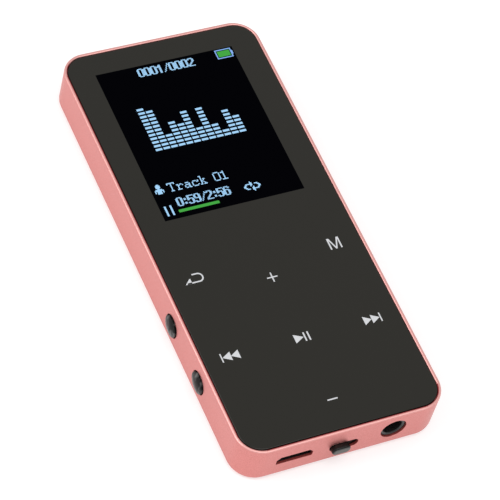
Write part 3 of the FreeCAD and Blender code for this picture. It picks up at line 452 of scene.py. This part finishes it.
def in_openings(centres):
    """The walls of the openings, which get the painted shade."""
    depth, height = depth_inside(centres), centres[:, 2]
    behind_face = (depth > opening_depths[0]) & (depth < opening_depths[1])
    return behind_face & (height > opening_levels[0]) & (height < opening_levels[1])


def at_seat(centres):
    """The inner edge of the rim, next to the glass, on the left and lower sides: where a dark line of shade
    is painted.
    """
    depth, height = depth_inside(centres), centres[:, 2]
    near = (centres[:, :2] / case_half).min(axis=1) < near_share
    return near & (depth > seat_depths[0]) & (depth < seat_depths[1]) & (height > ledge_level)


second_finish(case_ring, shaded_rose, in_openings)
second_finish(case_ring, seat_shade_rose, at_seat)

# ---------------------------------------------------------------- cover glass
# One sheet of toughened glass, 1 mm thick, printed black on its rear face and taped into the ring's
# ledge. Its upper edge is ground round, and it sits a hair below the ring's rim.
black_glass, shader = new_finish("black_cover_glass", (0.0095, 0.0085, 0.0050), roughness=0.06, specular=0.40)
shader.inputs["IOR"].default_value = 1.5
vary(black_glass, shader, grain(black_glass, size_mm=18.0), 0.05, 0.075)
glass_low, glass_high = (np.array(corner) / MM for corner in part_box("front_lens"))
glass_half = (glass_high - glass_low)[:2] / 2
glass_top = glass_high[2]
glass_corner, glass_round, glass_flat = 4.0, 0.14, 0.2
glass_bevel = 0.1
glass_rows = [(glass_bevel, glass_low[2]), (0.0, glass_low[2] + glass_bevel),
              (0.0, glass_top - glass_round - glass_bevel)]
glass_rows += list(zip(glass_round * (1 - np.cos(short_quarter)),
                       glass_top - glass_round * (1 - np.sin(short_quarter))))
glass_rows += [(glass_round + glass_flat, glass_top)]
glass_loops = [
    at_height(corner_outline(oblong(*(glass_half - inset)), glass_corner - inset, steps=corner_steps,
                             margin=corner_margin), level)
    for inset, level in glass_rows]
cover_glass = make_piece("cover_glass", [lofted(glass_loops, (True, True))], black_glass)
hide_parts("front_lens")

# ---------------------------------------------------------------- display picture
# The lit area of the 1.8 inch colour display, 128 by 160 dots, laminated behind the glass without
# an air gap, so it hardly reflects. What it shows is made of square dots, as on the real panel.
columns, lines = 128, 160
dot = 28.03 / columns
picture_centre = np.array((-0.27, 22.51))
picture_half = np.array((columns, lines)) * dot / 2
picture_corner = picture_centre - picture_half
picture_level = glass_top + 0.012
sign_level = glass_top + 0.022


def dot_gaps(material, darkest):
    """Square grid of dark gaps between the display's dots. Gives a value from darkest to 1."""
    tree = material.node_tree
    place = tree.nodes.new("ShaderNodeTexCoord")
    mapping = tree.nodes.new("ShaderNodeMapping")
    mapping.inputs["Scale"].default_value = (1 / (dot * MM),) * 3
    mapping.inputs["Location"].default_value = (*(-picture_corner / dot), 0.0)
    parts = tree.nodes.new("ShaderNodeSeparateXYZ")
    nearest = tree.nodes.new("ShaderNodeMath")
    nearest.operation = "MINIMUM"
    fade = tree.nodes.new("ShaderNodeMapRange")
    fade.inputs["From Max"].default_value = 0.16
    fade.inputs["To Min"].default_value = darkest
    tree.links.new(place.outputs["Object"], mapping.inputs["Vector"])
    tree.links.new(mapping.outputs["Vector"], parts.inputs["Vector"])
    for index, axis in enumerate("XY"):
        swing = tree.nodes.new("ShaderNodeMath")
        swing.operation = "PINGPONG"
        swing.inputs[1].default_value = 0.5
        tree.links.new(parts.outputs[axis], swing.inputs[0])
        tree.links.new(swing.outputs["Value"], nearest.inputs[index])
    tree.links.new(nearest.outputs["Value"], fade.inputs["Value"])
    return fade.outputs["Result"]


def lit(name, colour, darkest=0.8):
    """Glowing dots of one colour, a little darker in the gaps between them."""
    material, shader = new_finish(name, (0.0, 0.0, 0.0), roughness=0.6, specular=0.0)
    shader.inputs["Emission Strength"].default_value = 1.0
    dark = tuple(darkest * part for part in colour)
    tint(material, shader, dot_gaps(material, 0.0), dark, colour, 0.0, 1.0, "Emission Color")
    return material


def tiles(places, sizes, low, high):
    """Closed flat blocks, from their lower left corners and sizes in dots, between two levels."""
    places, sizes = np.atleast_2d(places)[:, None], np.atleast_2d(sizes)[:, None]
    square = np.array(((0, 0), (1, 0), (1, 1), (0, 1)))
    flat = picture_corner + dot * (places + sizes * square)
    count = len(flat)
    rear = np.concatenate((flat, np.full((count, 4, 1), low)), axis=2)
    front = np.concatenate((flat, np.full((count, 4, 1), high)), axis=2)
    faces = np.array(((3, 2, 1, 0), (4, 5, 6, 7), (0, 1, 5, 4), (1, 2, 6, 5), (2, 3, 7, 6), (3, 0, 4, 7)))
    faces = (faces + 8 * np.arange(count)[:, None, None]).reshape(-1, 4)
    return np.concatenate((rear, front), axis=1).reshape(-1, 3), [faces]


def sign(name, places, sizes, material):
    """Lit shape on the display, from blocks placed and sized in dots."""
    patches = [tiles(places, sizes, picture_level, sign_level)]
    return make_piece(name, patches, material, weld=False)


def drawn(rows, left, low):
    """Places in dots of the marked dots of a drawing, whose last row is the lowest."""
    marked = np.array([list(row) for row in rows[::-1]]) == "#"
    line, column = np.nonzero(marked)
    return np.column_stack((column + left, line + low))


dark_dots, shader = new_finish("dark_display", (0.001, 0.001, 0.002), roughness=0.5, specular=0.0)
tint(dark_dots, shader, dot_gaps(dark_dots, 0.0), (0.0006, 0.0006, 0.001),
     (0.0012, 0.0012, 0.0022), 0.0, 1.0)
ground = tiles((0, 0), (columns, lines), glass_top, picture_level)
make_piece("display_ground", [ground], dark_dots, weld=False)

pale_blue = lit("pale_blue_dots", (0.43, 0.76, 1.10), 0.58)
outline_blue = lit("outline_blue_dots", (0.27, 0.50, 0.98), 0.7)
bar_green = lit("green_dots", (0.065, 0.42, 0.065), 0.75)

bold = {
    "0": (".####.", "##..##", "##..##", "##..##", "##..##", "##..##", "##..##", "##..##", ".####."),
    "1": ("..##..", ".###..", "####..", "..##..", "..##..", "..##..", "..##..", "..##..", "..##.."),
    "2": (".####.", "##..##", "....##", "....##", "...##.", "..##..", ".##...", "##....", "######"),
    "5": ("######", "##....", "##....", "#####.", "##..##", "....##", "....##", "##..##", ".####."),
    "6": (".####.", "##..##", "##....", "#####.", "##..##", "##..##", "##..##", "##..##", ".####."),
    "9": (".####.", "##..##", "##..##", "##..##", ".#####", "....##", "....##", "##..##", ".####."),
    "/": ("....#", "....#", "...#.", "...#.", "..#..", "..#..", ".#...", ".#...", "#...."),
    ":": ("....", "....", ".##.", ".##.", "....", "....", ".##.", ".##.", "...."),
}
thin = {
    "T": ("#######", "#..#..#", "...#...", "...#...", "...#...", "...#...", "...#...", "...#...", "..###.."),
    "r": ("......", "......", "......", "##.##.", ".##..#", ".#....", ".#....", ".#....", "####.."),
    "a": ("......", "......", "......", ".###..", "....#.", ".####.", "#...#.", "#..##.", ".##.##"),
    "c": ("......", "......", "......", ".###.#", "#...##", "#.....", "#.....", "#....#", ".####."),
    "k": ("##....", ".#....", ".#....", ".#.##.", ".#.#..", ".##...", ".#.#..", ".#..#.", "##.###"),
    "0": (".####.", "#....#", "#....#", "#....#", "#....#", "#....#", "#....#", "#....#", ".####."),
    "1": ("..#..", "###..", "..#..", "..#..", "..#..", "..#..", "..#..", "..#..", "#####"),
    " ": (".....",) * 9,
}


def lettering(text, letters, between="."):
    """Rows of a line of text, letter beside letter with the blank dots between."""
    return [between.join(letters[letter][row] for letter in text) for row in range(9)]


bold_dot, thin_dot = (0.86, 0.95), (0.95, 1)
sign("display_track_count", drawn(lettering("0001/0002", bold, ""), 36.4, 148), bold_dot, pale_blue)
sign("display_time", drawn(lettering("0:59/2:56", bold, ""), 16.6, 11), bold_dot, pale_blue)
sign("display_track_title", drawn(lettering("Track 01", thin), 15, 27), thin_dot, pale_blue)

bar_heights = np.array((12, 11, 4, 7, 6, 9, 4, 9, 4, 2, 7, 5))
step, column = np.nonzero(np.arange(bar_heights.max())[:, None] < bar_heights)
bar_left, bar_low, bar_pitch, step_pitch, bar_size = 20.3, 69.9, 7.08, 3.99, (5.9, 2.2)
sign("display_level_bars", np.column_stack((bar_left + bar_pitch * column, bar_low + step_pitch * step)),
     bar_size, pale_blue)

sign("display_battery_frame", ((110.8, 149), (110.8, 157.9), (110.8, 150), (124.8, 150), (125.8, 152)),
     ((15, 1), (15, 1), (1, 8), (1, 8), (1, 4)), outline_blue)
sign("display_battery_charge", (112.6, 150.9), (11.4, 6.2), bar_green)
sign("display_progress_bar", ((15, 5.6), (15.4, 5.2)), ((37, 2.0), (36.2, 2.8)), bar_green)
sign("display_pause_sign", ((4.2, 4), (9.2, 4)), ((1.6, 10.2), (1.6, 10.2)), pale_blue)

person = ("...##...",
          "..####..",
          "..####..",
          "..####..",
          "...##...",
          ".######.",
          "########",
          "#.####.#",
          "#.####.#",
          "..####..")
repeat_arrows = ("......#........",
                 "......##.......",
                 "..######..###..",
                 ".##...##....##.",
                 "##....#......##",
                 "##......#....##",
                 ".##....##...##.",
                 "..###..######..",
                 ".......##......",
                 "........#......")
sign("display_artist_sign", drawn(person, 3, 27), (1, 1), pale_blue)
sign("display_repeat_sign", drawn(repeat_arrows, 78, 9), (1, 1), pale_blue)

# ---------------------------------------------------------------- key marks
# Touch keys have no moving parts: seven marks are printed in silver grey on the glass, where a
# finger is sensed by the film behind it.
mark_ink, shader = new_finish("silver_mark_ink", (0.62, 0.63, 0.65), roughness=0.45, specular=0.3)
tint(mark_ink, shader, grain(mark_ink, size_mm=0.12), (0.56, 0.57, 0.59), (0.68, 0.69, 0.71))
mark_low, mark_high = glass_top, glass_top + 0.012


def plate(outline):
    """Thin printed shape over a flat outline (n, 2)."""
    outline = np.asarray(outline, dtype=float)
    return lofted([at_height(outline, mark_low), at_height(outline, mark_high)], (True, True))


def stroke(path, width):
    """Thin printed line along a path (n, 2): a rectangle carried along it, square to the path."""
    path = np.asarray(path, dtype=float)
    along = np.gradient(path, axis=0)
    along /= np.linalg.norm(along, axis=1, keepdims=True)
    across = np.column_stack((-along[:, 1], along[:, 0])) * width / 2
    left, right = path + across, path - across
    loops = np.stack((at_height(left, mark_low), at_height(right, mark_low),
                      at_height(right, mark_high), at_height(left, mark_high)), axis=1)
    return lofted(loops, (True, True))


def bar(x0, x1, y0, y1):
    """Printed rectangle between two pairs of sides."""
    return plate(((x0, y0), (x1, y0), (x1, y1), (x0, y1)))


def print_mark(name, *patches):
    """One key's mark."""
    make_piece(name, list(patches), mark_ink)


plus_x, plus_y = -0.17, -11.83
arm, thick = 1.03, 0.125
plus = np.array(((-thick, -arm), (thick, -arm), (thick, -thick), (arm, -thick),
                 (arm, thick), (thick, thick), (thick, arm), (-thick, arm),
                 (-thick, thick), (-arm, thick), (-arm, -thick), (-thick, -thick)))
print_mark("mark_plus", plate(plus + (plus_x, plus_y)))
print_mark("mark_minus", bar(-1.22, 0.76, -38.92, -38.66))

menu_width, menu_height, menu_stroke = 2.37, 2.46, 0.29
menu = np.array(((0, 0), (menu_stroke, 0), (menu_stroke, menu_height - 0.42),
                 (menu_width / 2 - 0.13, 0), (menu_width / 2 + 0.13, 0),
                 (menu_width - menu_stroke, menu_height - 0.42), (menu_width - menu_stroke, 0),
                 (menu_width, 0), (menu_width, menu_height), (menu_width - 0.43, menu_height),
                 (menu_width / 2, 0.44), (0.43, menu_height), (0, menu_height)))
print_mark("mark_menu", plate(menu + (12.83, -9.29)))

key_low, key_high = -26.25, -24.4
key_middle = (key_low + key_high) / 2


def arrowhead(base, tip):
    """Printed triangle with an upright base, as tall as the key marks."""
    points = ((base, key_low), (tip, key_middle), (base, key_high))
    return plate(points if tip > base else points[::-1])


print_mark("mark_previous", bar(-15.98, -15.74, key_low, key_high),
           arrowhead(-14.04, -15.70), arrowhead(-12.46, -14.06))
print_mark("mark_play_pause", arrowhead(-1.67, 0.13),
           bar(0.21, 0.5, key_low, key_high), bar(0.98, 1.28, key_low, key_high))
print_mark("mark_next", arrowhead(12.12, 13.67), arrowhead(13.67, 15.27),
           bar(15.32, 15.57, key_low, key_high))

turn_x, turn_y, turn_radius, line_width = -13.21, -8.125, 0.854, 0.28
sweep = np.linspace(math.pi / 2, -math.pi / 2, 19)
bend = np.column_stack((turn_x + turn_radius * np.cos(sweep), turn_y + turn_radius * np.sin(sweep)))
hook = np.concatenate((((-14.17, turn_y + turn_radius),), bend, ((-15.6, turn_y - turn_radius),)))
barb = ((-16.05, turn_y - turn_radius - 0.13), (-14.75, turn_y - turn_radius - 0.13),
        (-14.75, -8.0), (-14.95, -8.05))
print_mark("mark_back", stroke(hook, line_width), plate(barb))

# ---------------------------------------------------------------- side buttons
# Two round volume buttons, moulded in glossy black plastic. Each has a low dome outside, and a
# flange behind the wall that keeps it in; it slides in its hole and presses a key switch.
gloss_black, shader = new_finish("gloss_black_plastic", (0.010, 0.010, 0.010), roughness=0.16)
shader.inputs["IOR"].default_value = 1.16
# The base colour runs in soft patches from near black to grey: painted reflections on the glossy domes.
tint(gloss_black, shader, grain(gloss_black, size_mm=1.25, stretch=(1.0, 1.3, 0.6), detail=1.0),
     (0.004, 0.004, 0.004), (0.12, 0.12, 0.118), 0.50, 0.72)
vary(gloss_black, shader, grain(gloss_black, size_mm=0.9), 0.10, 0.24)
relief(gloss_black, shader, grain(gloss_black, size_mm=1.1, detail=1.0), depth_mm=0.05, strength=0.5)


def turned(profile, place, around=48):
    """Shape turned about a line along -X through place (y, z), from (radius, distance out) rows."""
    profile = np.asarray(profile, dtype=float)
    angle = np.linspace(0, 2 * math.pi, around, endpoint=False)
    radius, out = profile[:, :1], profile[:, 1:]
    loops = np.stack((np.broadcast_to(-out, (len(profile), around)),
                      place[0] + radius * np.cos(angle), place[1] + radius * np.sin(angle)), axis=2)
    return lofted(loops)


cap_radius, cap_edge, dome = 2.15, 0.16, 0.3
flange_radius, flange_thickness, flange_bevel = 2.75, 0.45, 0.1
for node, box in button_boxes.items():
    back_out, front_out = -box[1, 0], -box[0, 0]
    reach = np.linspace(1, 0, 10)
    crown = cap_radius - cap_edge
    rim_out = front_out - dome
    rounded = list(zip(crown + cap_edge * np.cos(short_quarter),
                       rim_out - cap_edge + cap_edge * np.sin(short_quarter)))
    domed = list(zip(crown * reach[1:], rim_out + dome * (1 - reach[1:] ** 2)))
    rows = [(0.0, back_out), (flange_radius - flange_bevel, back_out),
            (flange_radius, back_out + flange_bevel),
            (flange_radius, back_out + flange_thickness), (cap_radius, back_out + flange_thickness),
            (cap_radius, rim_out - cap_edge - 0.1)] + rounded + domed
    body = node.replace("_button", "")
    button = make_piece(node + "_cap", [turned(rows, button_places[node])], gloss_black,
                        body, sharp=50)
    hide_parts(node)

# ---------------------------------------------------------------- power slider
# Oblong black knob that stands out of its slot, with a softly rounded end and a plate behind the
# wall; two prongs on the plate carry the slide switch's lever.
satin_black, shader = new_finish("satin_black_plastic", (0.006, 0.0065, 0.006), roughness=0.28, specular=0.25)
vary(satin_black, shader, grain(satin_black, size_mm=0.5), 0.22, 0.36)
relief(satin_black, shader, grain(satin_black, size_mm=0.3), depth_mm=0.002, strength=0.3)
# A lighter copy of the black for the knob's end face: painted light where the lamps fall on it.
lit_end_black, shader = new_finish("black_plastic_painted_light", (0.060, 0.060, 0.055), roughness=0.32)
tint(lit_end_black, shader, grain(lit_end_black, size_mm=0.5), (0.045, 0.045, 0.041), (0.072, 0.072, 0.066))
knob_half = np.array((1.8, 0.95))
knob_round = 0.40
knob_x = slider_box.mean(axis=0)[0]
knob_out = slider_box[0, 1]
knob_corner = knob_half[1] - nearly
plate_gap, plate_thickness, plate_round = 0.1, 0.45, 0.4
plate_front = -case_half[1] + skin + plate_gap
plate_back = plate_front + plate_thickness
plate_half = np.array((4.3, 1.4))
knob_rows = [(plate_half, plate_round, 0.0, plate_back), (plate_half, plate_round, 0.0, plate_front),
             (knob_half, knob_corner, 0.0, plate_front),
             (knob_half, knob_corner, 0.0, knob_out + knob_round + 0.15)]
knob_rows += [(knob_half, knob_corner, -knob_round * (1 - math.cos(angle)),
               knob_out + knob_round * (1 - math.sin(angle))) for angle in short_quarter]
knob_rows += [(knob_half, knob_corner, -knob_round - 0.12, knob_out)]
knob_loops = [upright(corner_outline(oblong(*half, (knob_x, slider_level)), radius, grow), y)
              for half, radius, grow, y in knob_rows]
slider_patches = [lofted(knob_loops, (True, True))]
prong_half, prong_round, prong_offset, prong_root = np.array((0.25, 0.6)), 0.1, 0.9, 0.05
for side in (-1, 1):
    prong_place = (knob_x + side * prong_offset, slider_level)
    outline = corner_outline(oblong(*prong_half, prong_place), prong_round)
    slider_patches.append(lofted([upright(outline, y) for y in (plate_back - prong_root, slider_box[1, 1])],
                                 (True, True)))
slider = make_piece("power_slider_knob", slider_patches, satin_black, "power_switch")
lit_end_depth = 0.10
# The knob's end face takes the lighter black: painted light.
second_finish(slider, lit_end_black, lambda centres: centres[:, 1] < knob_out + lit_end_depth)
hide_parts("power_slider")

# ---------------------------------------------------------------- audio socket
# 3.5 mm socket, moulded in dark plastic on the board: a block behind the wall, and a round nose in
# the wall's hole, set a little back, with a bevelled mouth and a bore right through.
socket_plastic, shader = new_finish("socket_plastic", (0.014, 0.013, 0.013), roughness=0.26)
vary(socket_plastic, shader, grain(socket_plastic, size_mm=0.4), 0.25, 0.38)
nose, bore, mouth = 2.375, 1.8, 0.2
block_half, block_round, block_gap = np.array((2.45, 2.4)), 0.3, 0.2
nose_root = -case_half[1] + wall + block_gap
jack_front, jack_back = jack_box[0, 1], jack_box[1, 1]
jack_rows = [(block_half, block_round, jack_back), (block_half, block_round, nose_root),
             ((nose, nose), nose - nearly, nose_root), ((nose, nose), nose - nearly, jack_front + 0.12)]
jack_rows += [((nose - inset,) * 2, nose - inset - nearly, jack_front + lift)
              for inset, lift in ((0.015, 0.05), (0.05, 0.015), (0.12, 0.0))]
jack_rows += [((bore + mouth,) * 2, bore + mouth - nearly, jack_front),
              ((bore + mouth * 0.6,) * 2, bore + mouth * 0.6 - nearly, jack_front + mouth * 0.25),
              ((bore,) * 2, bore - nearly, jack_front + mouth), ((bore,) * 2, bore - nearly, jack_back),
              (block_half, block_round, jack_back)]
jack_loops = [upright(corner_outline(oblong(*half, jack_place), radius, steps=12), y)
              for half, radius, y in jack_rows]
jack = make_piece("audio_socket", [lofted(jack_loops)], socket_plastic)
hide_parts("jack_housing")

# ---------------------------------------------------------------- rear cover and screws
# Flat aluminium plate, 0.8 mm thick, let into the ring flush with its rear face and anodised with
# it. Four countersunk cross-head screws hold it to the bosses.
cover_low, cover_high = (np.array(corner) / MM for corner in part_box("rear_cover"))
cover_half = (cover_high - cover_low)[:2] / 2
cover_corner, cover_edge, sink_edge = 3.1, 0.08, 0.06
cover_rows = [(cover_edge + 0.05, 0.0), (cover_edge, 0.0), (0.0, cover_edge), (0.0, 0.7),
              (0.0, cover_high[2])]
cover_loops = [at_height(corner_outline(oblong(*(cover_half - inset)), cover_corner - inset, steps=10), level)
               for inset, level in cover_rows]
shank, head, head_depth = 0.8, 1.35, 0.55
cover_patches = [lofted(cover_loops)]
for level, radius, loop in ((0.0, head + sink_edge, cover_loops[0]),
                            (cover_high[2], shank, cover_loops[-1])):
    sheet, triangles = pierced(loop[:, :2], [circle(radius, place) for place in screw_places])
    cover_patches.append((at_height(sheet, level), triangles))
sink = ((head + sink_edge, 0.0), (head, 0.0), (shank, head_depth), (shank, cover_high[2]))
cover_patches += [lofted([at_height(circle(radius, place), level) for radius, level in sink])
                  for place in screw_places]
cover = make_piece("rear_plate", cover_patches, rose_metal)
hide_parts("rear_cover")

screw_steel, shader = new_finish("plated_screw_steel", (0.52, 0.51, 0.49), roughness=0.3, metallic=1.0)
vary(screw_steel, shader, grain(screw_steel, size_mm=0.2), 0.22, 0.38)
relief(screw_steel, shader, grain(screw_steel, size_mm=0.1), depth_mm=0.004, strength=0.4)
head_low, head_radius, head_edge = 0.05, 1.3, 0.04
thread_radius, neck_level = 0.7, 0.6
tip_start, tip_end, tip_radius = 3.3, 3.45, 0.5
cross_long, cross_thin, cross_depth = 0.65, 0.125, 0.35
cross = np.sign(plus) * np.where(np.abs(plus) > thick, cross_long, cross_thin)
cross_taper = 0.75
screw_rows = ((head_radius - head_edge, head_low), (head_radius, head_low + head_edge),
              (thread_radius, head_low + neck_level), (thread_radius, tip_start), (tip_radius, tip_end))
screw_patches = []
for place in screw_places:
    rim = circle(head_radius - head_edge, place)
    sheet, triangles = pierced(rim, [cross + place])
    screw_patches.append((at_height(sheet, head_low), triangles))
    screw_patches.append(lofted([at_height(cross + place, head_low),
                                 at_height(cross * cross_taper + place, head_low + cross_depth)],
                                (False, True)))
    screw_patches.append(lofted([at_height(circle(radius, place), level) for radius, level in screw_rows],
                                (False, True)))
screws = make_piece("rear_screws", screw_patches, screw_steel)
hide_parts("rear_cover_screws")

# ---------------------------------------------------------------- charging socket
# Steel shell bent from sheet and plated dark, with a black tongue that carries five gilt contacts.
# It is soldered to the board, and its mouth sits close behind the wall's opening.
dark_steel, shader = new_finish("dark_plated_steel", (0.10, 0.10, 0.10), roughness=0.4, metallic=1.0)
vary(dark_steel, shader, grain(dark_steel, size_mm=0.3), 0.3, 0.5)
moulded_black, shader = new_finish("moulded_black", (0.018, 0.018, 0.019), roughness=0.5, specular=0.4)
moulded_grain = grain(moulded_black, size_mm=0.09)
tint(moulded_black, shader, moulded_grain, (0.014, 0.014, 0.015), (0.024, 0.024, 0.025))
relief(moulded_black, shader, moulded_grain, depth_mm=0.004, strength=0.5)
gilt, shader = new_finish("gilt_contact", (0.83, 0.58, 0.22), roughness=0.25, metallic=1.0)
vary(gilt, shader, grain(gilt, size_mm=0.15), 0.18, 0.34)


def refinish(material, *nodes):
    """Gives CAD pieces a finish, in all their material slots."""
    for node in nodes:
        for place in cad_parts[node].material_slots:
            place.material = material


refinish(dark_steel, "usb_shell")
refinish(moulded_black, "usb_tongue")
refinish(gilt, "usb_contacts", "jack_contacts")

# ---------------------------------------------------------------- main board
# Fibreglass board under green solder mask, held to the chassis by four small screws. Chips,
# passive parts, cable sockets and the three switches are soldered to its front.
mask_green, shader = new_finish("green_solder_mask", (0.01, 0.09, 0.04), roughness=0.35)
tracks = mask_green.node_tree.nodes.new("ShaderNodeTexBrick")
tracks.inputs["Scale"].default_value = 1 / (4.0 * MM)
tracks.inputs["Mortar Size"].default_value = 0.035
tracks.inputs["Color1"].default_value = (0.008, 0.075, 0.032, 1.0)
tracks.inputs["Color2"].default_value = (0.011, 0.095, 0.042, 1.0)
tracks.inputs["Mortar"].default_value = (0.025, 0.19, 0.08, 1.0)
board_place = mask_green.node_tree.nodes.new("ShaderNodeTexCoord")
mask_green.node_tree.links.new(board_place.outputs["Object"], tracks.inputs["Vector"])
mask_green.node_tree.links.new(tracks.outputs["Color"], shader.inputs["Base Color"])
relief(mask_green, shader, tracks.outputs["Fac"], depth_mm=0.02, strength=0.6)
vary(mask_green, shader, grain(mask_green, size_mm=1.5), 0.28, 0.42)
fired_ceramic, shader = new_finish("fired_ceramic", (0.45, 0.36, 0.25), roughness=0.5)
tint(fired_ceramic, shader, grain(fired_ceramic, size_mm=0.25), (0.36, 0.28, 0.19), (0.55, 0.46, 0.34))
ivory_plastic, shader = new_finish("ivory_plastic", (0.78, 0.75, 0.66), roughness=0.4)
ivory_grain = grain(ivory_plastic, size_mm=0.12)
tint(ivory_plastic, shader, ivory_grain, (0.72, 0.69, 0.60), (0.82, 0.79, 0.71))
relief(ivory_plastic, shader, ivory_grain, depth_mm=0.003, strength=0.5)
bright_steel, shader = new_finish("bright_tinned_steel", (0.60, 0.60, 0.59), roughness=0.3, metallic=1.0)
steel_grain = grain(bright_steel, size_mm=0.2, stretch=(1.0, 6.0, 6.0))
vary(bright_steel, shader, steel_grain, 0.2, 0.4)
relief(bright_steel, shader, steel_grain, depth_mm=0.003, strength=0.5)
refinish(mask_green, "main_board", "battery_protection_board")
refinish(moulded_black, "processor_chip", "flash_chip", "power_chip", "lcd_connector",
         "touch_connector", "volume_up_switch", "volume_down_switch")
refinish(fired_ceramic, "chip_components")
refinish(ivory_plastic, "volume_up_plunger", "volume_down_plunger", "slide_switch_lever")
refinish(bright_steel, "board_screws", "slide_switch_can", "clock_crystal")

# ---------------------------------------------------------------- display and touch films
# Liquid crystal panel on a white backlight tray, with a black gasket round its window and an amber
# cable down to the board; the touch keys are one amber film, and black tape holds the glass.
panel_glass, shader = new_finish("panel_glass", (0.010, 0.012, 0.018), roughness=0.08)
tint(panel_glass, shader, grain(panel_glass, size_mm=6.0), (0.008, 0.009, 0.014), (0.014, 0.017, 0.026))
white_moulding, shader = new_finish("white_moulding", (0.80, 0.80, 0.78), roughness=0.45)
white_grain = grain(white_moulding, size_mm=0.15)
tint(white_moulding, shader, white_grain, (0.76, 0.76, 0.74), (0.84, 0.84, 0.83))
relief(white_moulding, shader, white_grain, depth_mm=0.004, strength=0.5)
amber_film, shader = new_finish("amber_polyimide_film", (0.52, 0.22, 0.03), roughness=0.28)
conductors = amber_film.node_tree.nodes.new("ShaderNodeTexWave")
conductors.inputs["Scale"].default_value = 0.35 / MM
conductors.inputs["Distortion"].default_value = 0.3
film_place = amber_film.node_tree.nodes.new("ShaderNodeTexCoord")
amber_film.node_tree.links.new(film_place.outputs["Object"], conductors.inputs["Vector"])
tint(amber_film, shader, conductors.outputs["Fac"], (0.42, 0.16, 0.02), (0.66, 0.32, 0.07), 0.4, 0.6)
black_tape, shader = new_finish("black_foam_tape", (0.02, 0.02, 0.02), roughness=0.85, specular=0.2)
tape_grain = grain(black_tape, size_mm=0.08, detail=4.0)
tint(black_tape, shader, tape_grain, (0.012, 0.012, 0.012), (0.035, 0.035, 0.035))
relief(black_tape, shader, tape_grain, depth_mm=0.02, strength=0.8)
refinish(panel_glass, "lcd_panel")
refinish(white_moulding, "lcd_backlight", "inner_chassis")
refinish(amber_film, "lcd_flex", "touch_sensor")
refinish(black_tape, "lcd_gasket", "lens_adhesive", "battery_tape")

# ---------------------------------------------------------------- battery
# Flat lithium cell in a foil pouch, taped to the chassis, with its protection board at one end and
# a red and a black lead to the main board.
foil_pouch, shader = new_finish("foil_pouch", (0.62, 0.63, 0.64), roughness=0.35, metallic=0.8)
creases = grain(foil_pouch, size_mm=3.5, stretch=(1.0, 0.5, 1.0), detail=4.0)
vary(foil_pouch, shader, creases, 0.28, 0.45)
relief(foil_pouch, shader, creases, depth_mm=0.08, strength=0.5)
refinish(foil_pouch, "battery_cell")
for colour_name, node, dark, light in (
        ("red", "battery_lead_red", (0.42, 0.012, 0.010), (0.58, 0.025, 0.02)),
        ("black", "battery_lead_black", (0.012, 0.012, 0.012), (0.028, 0.028, 0.028))):
    sleeve, shader = new_finish(colour_name + "_lead_sleeve", light, roughness=0.42)
    tint(sleeve, shader, grain(sleeve, size_mm=0.3), dark, light)
    refinish(sleeve, node)
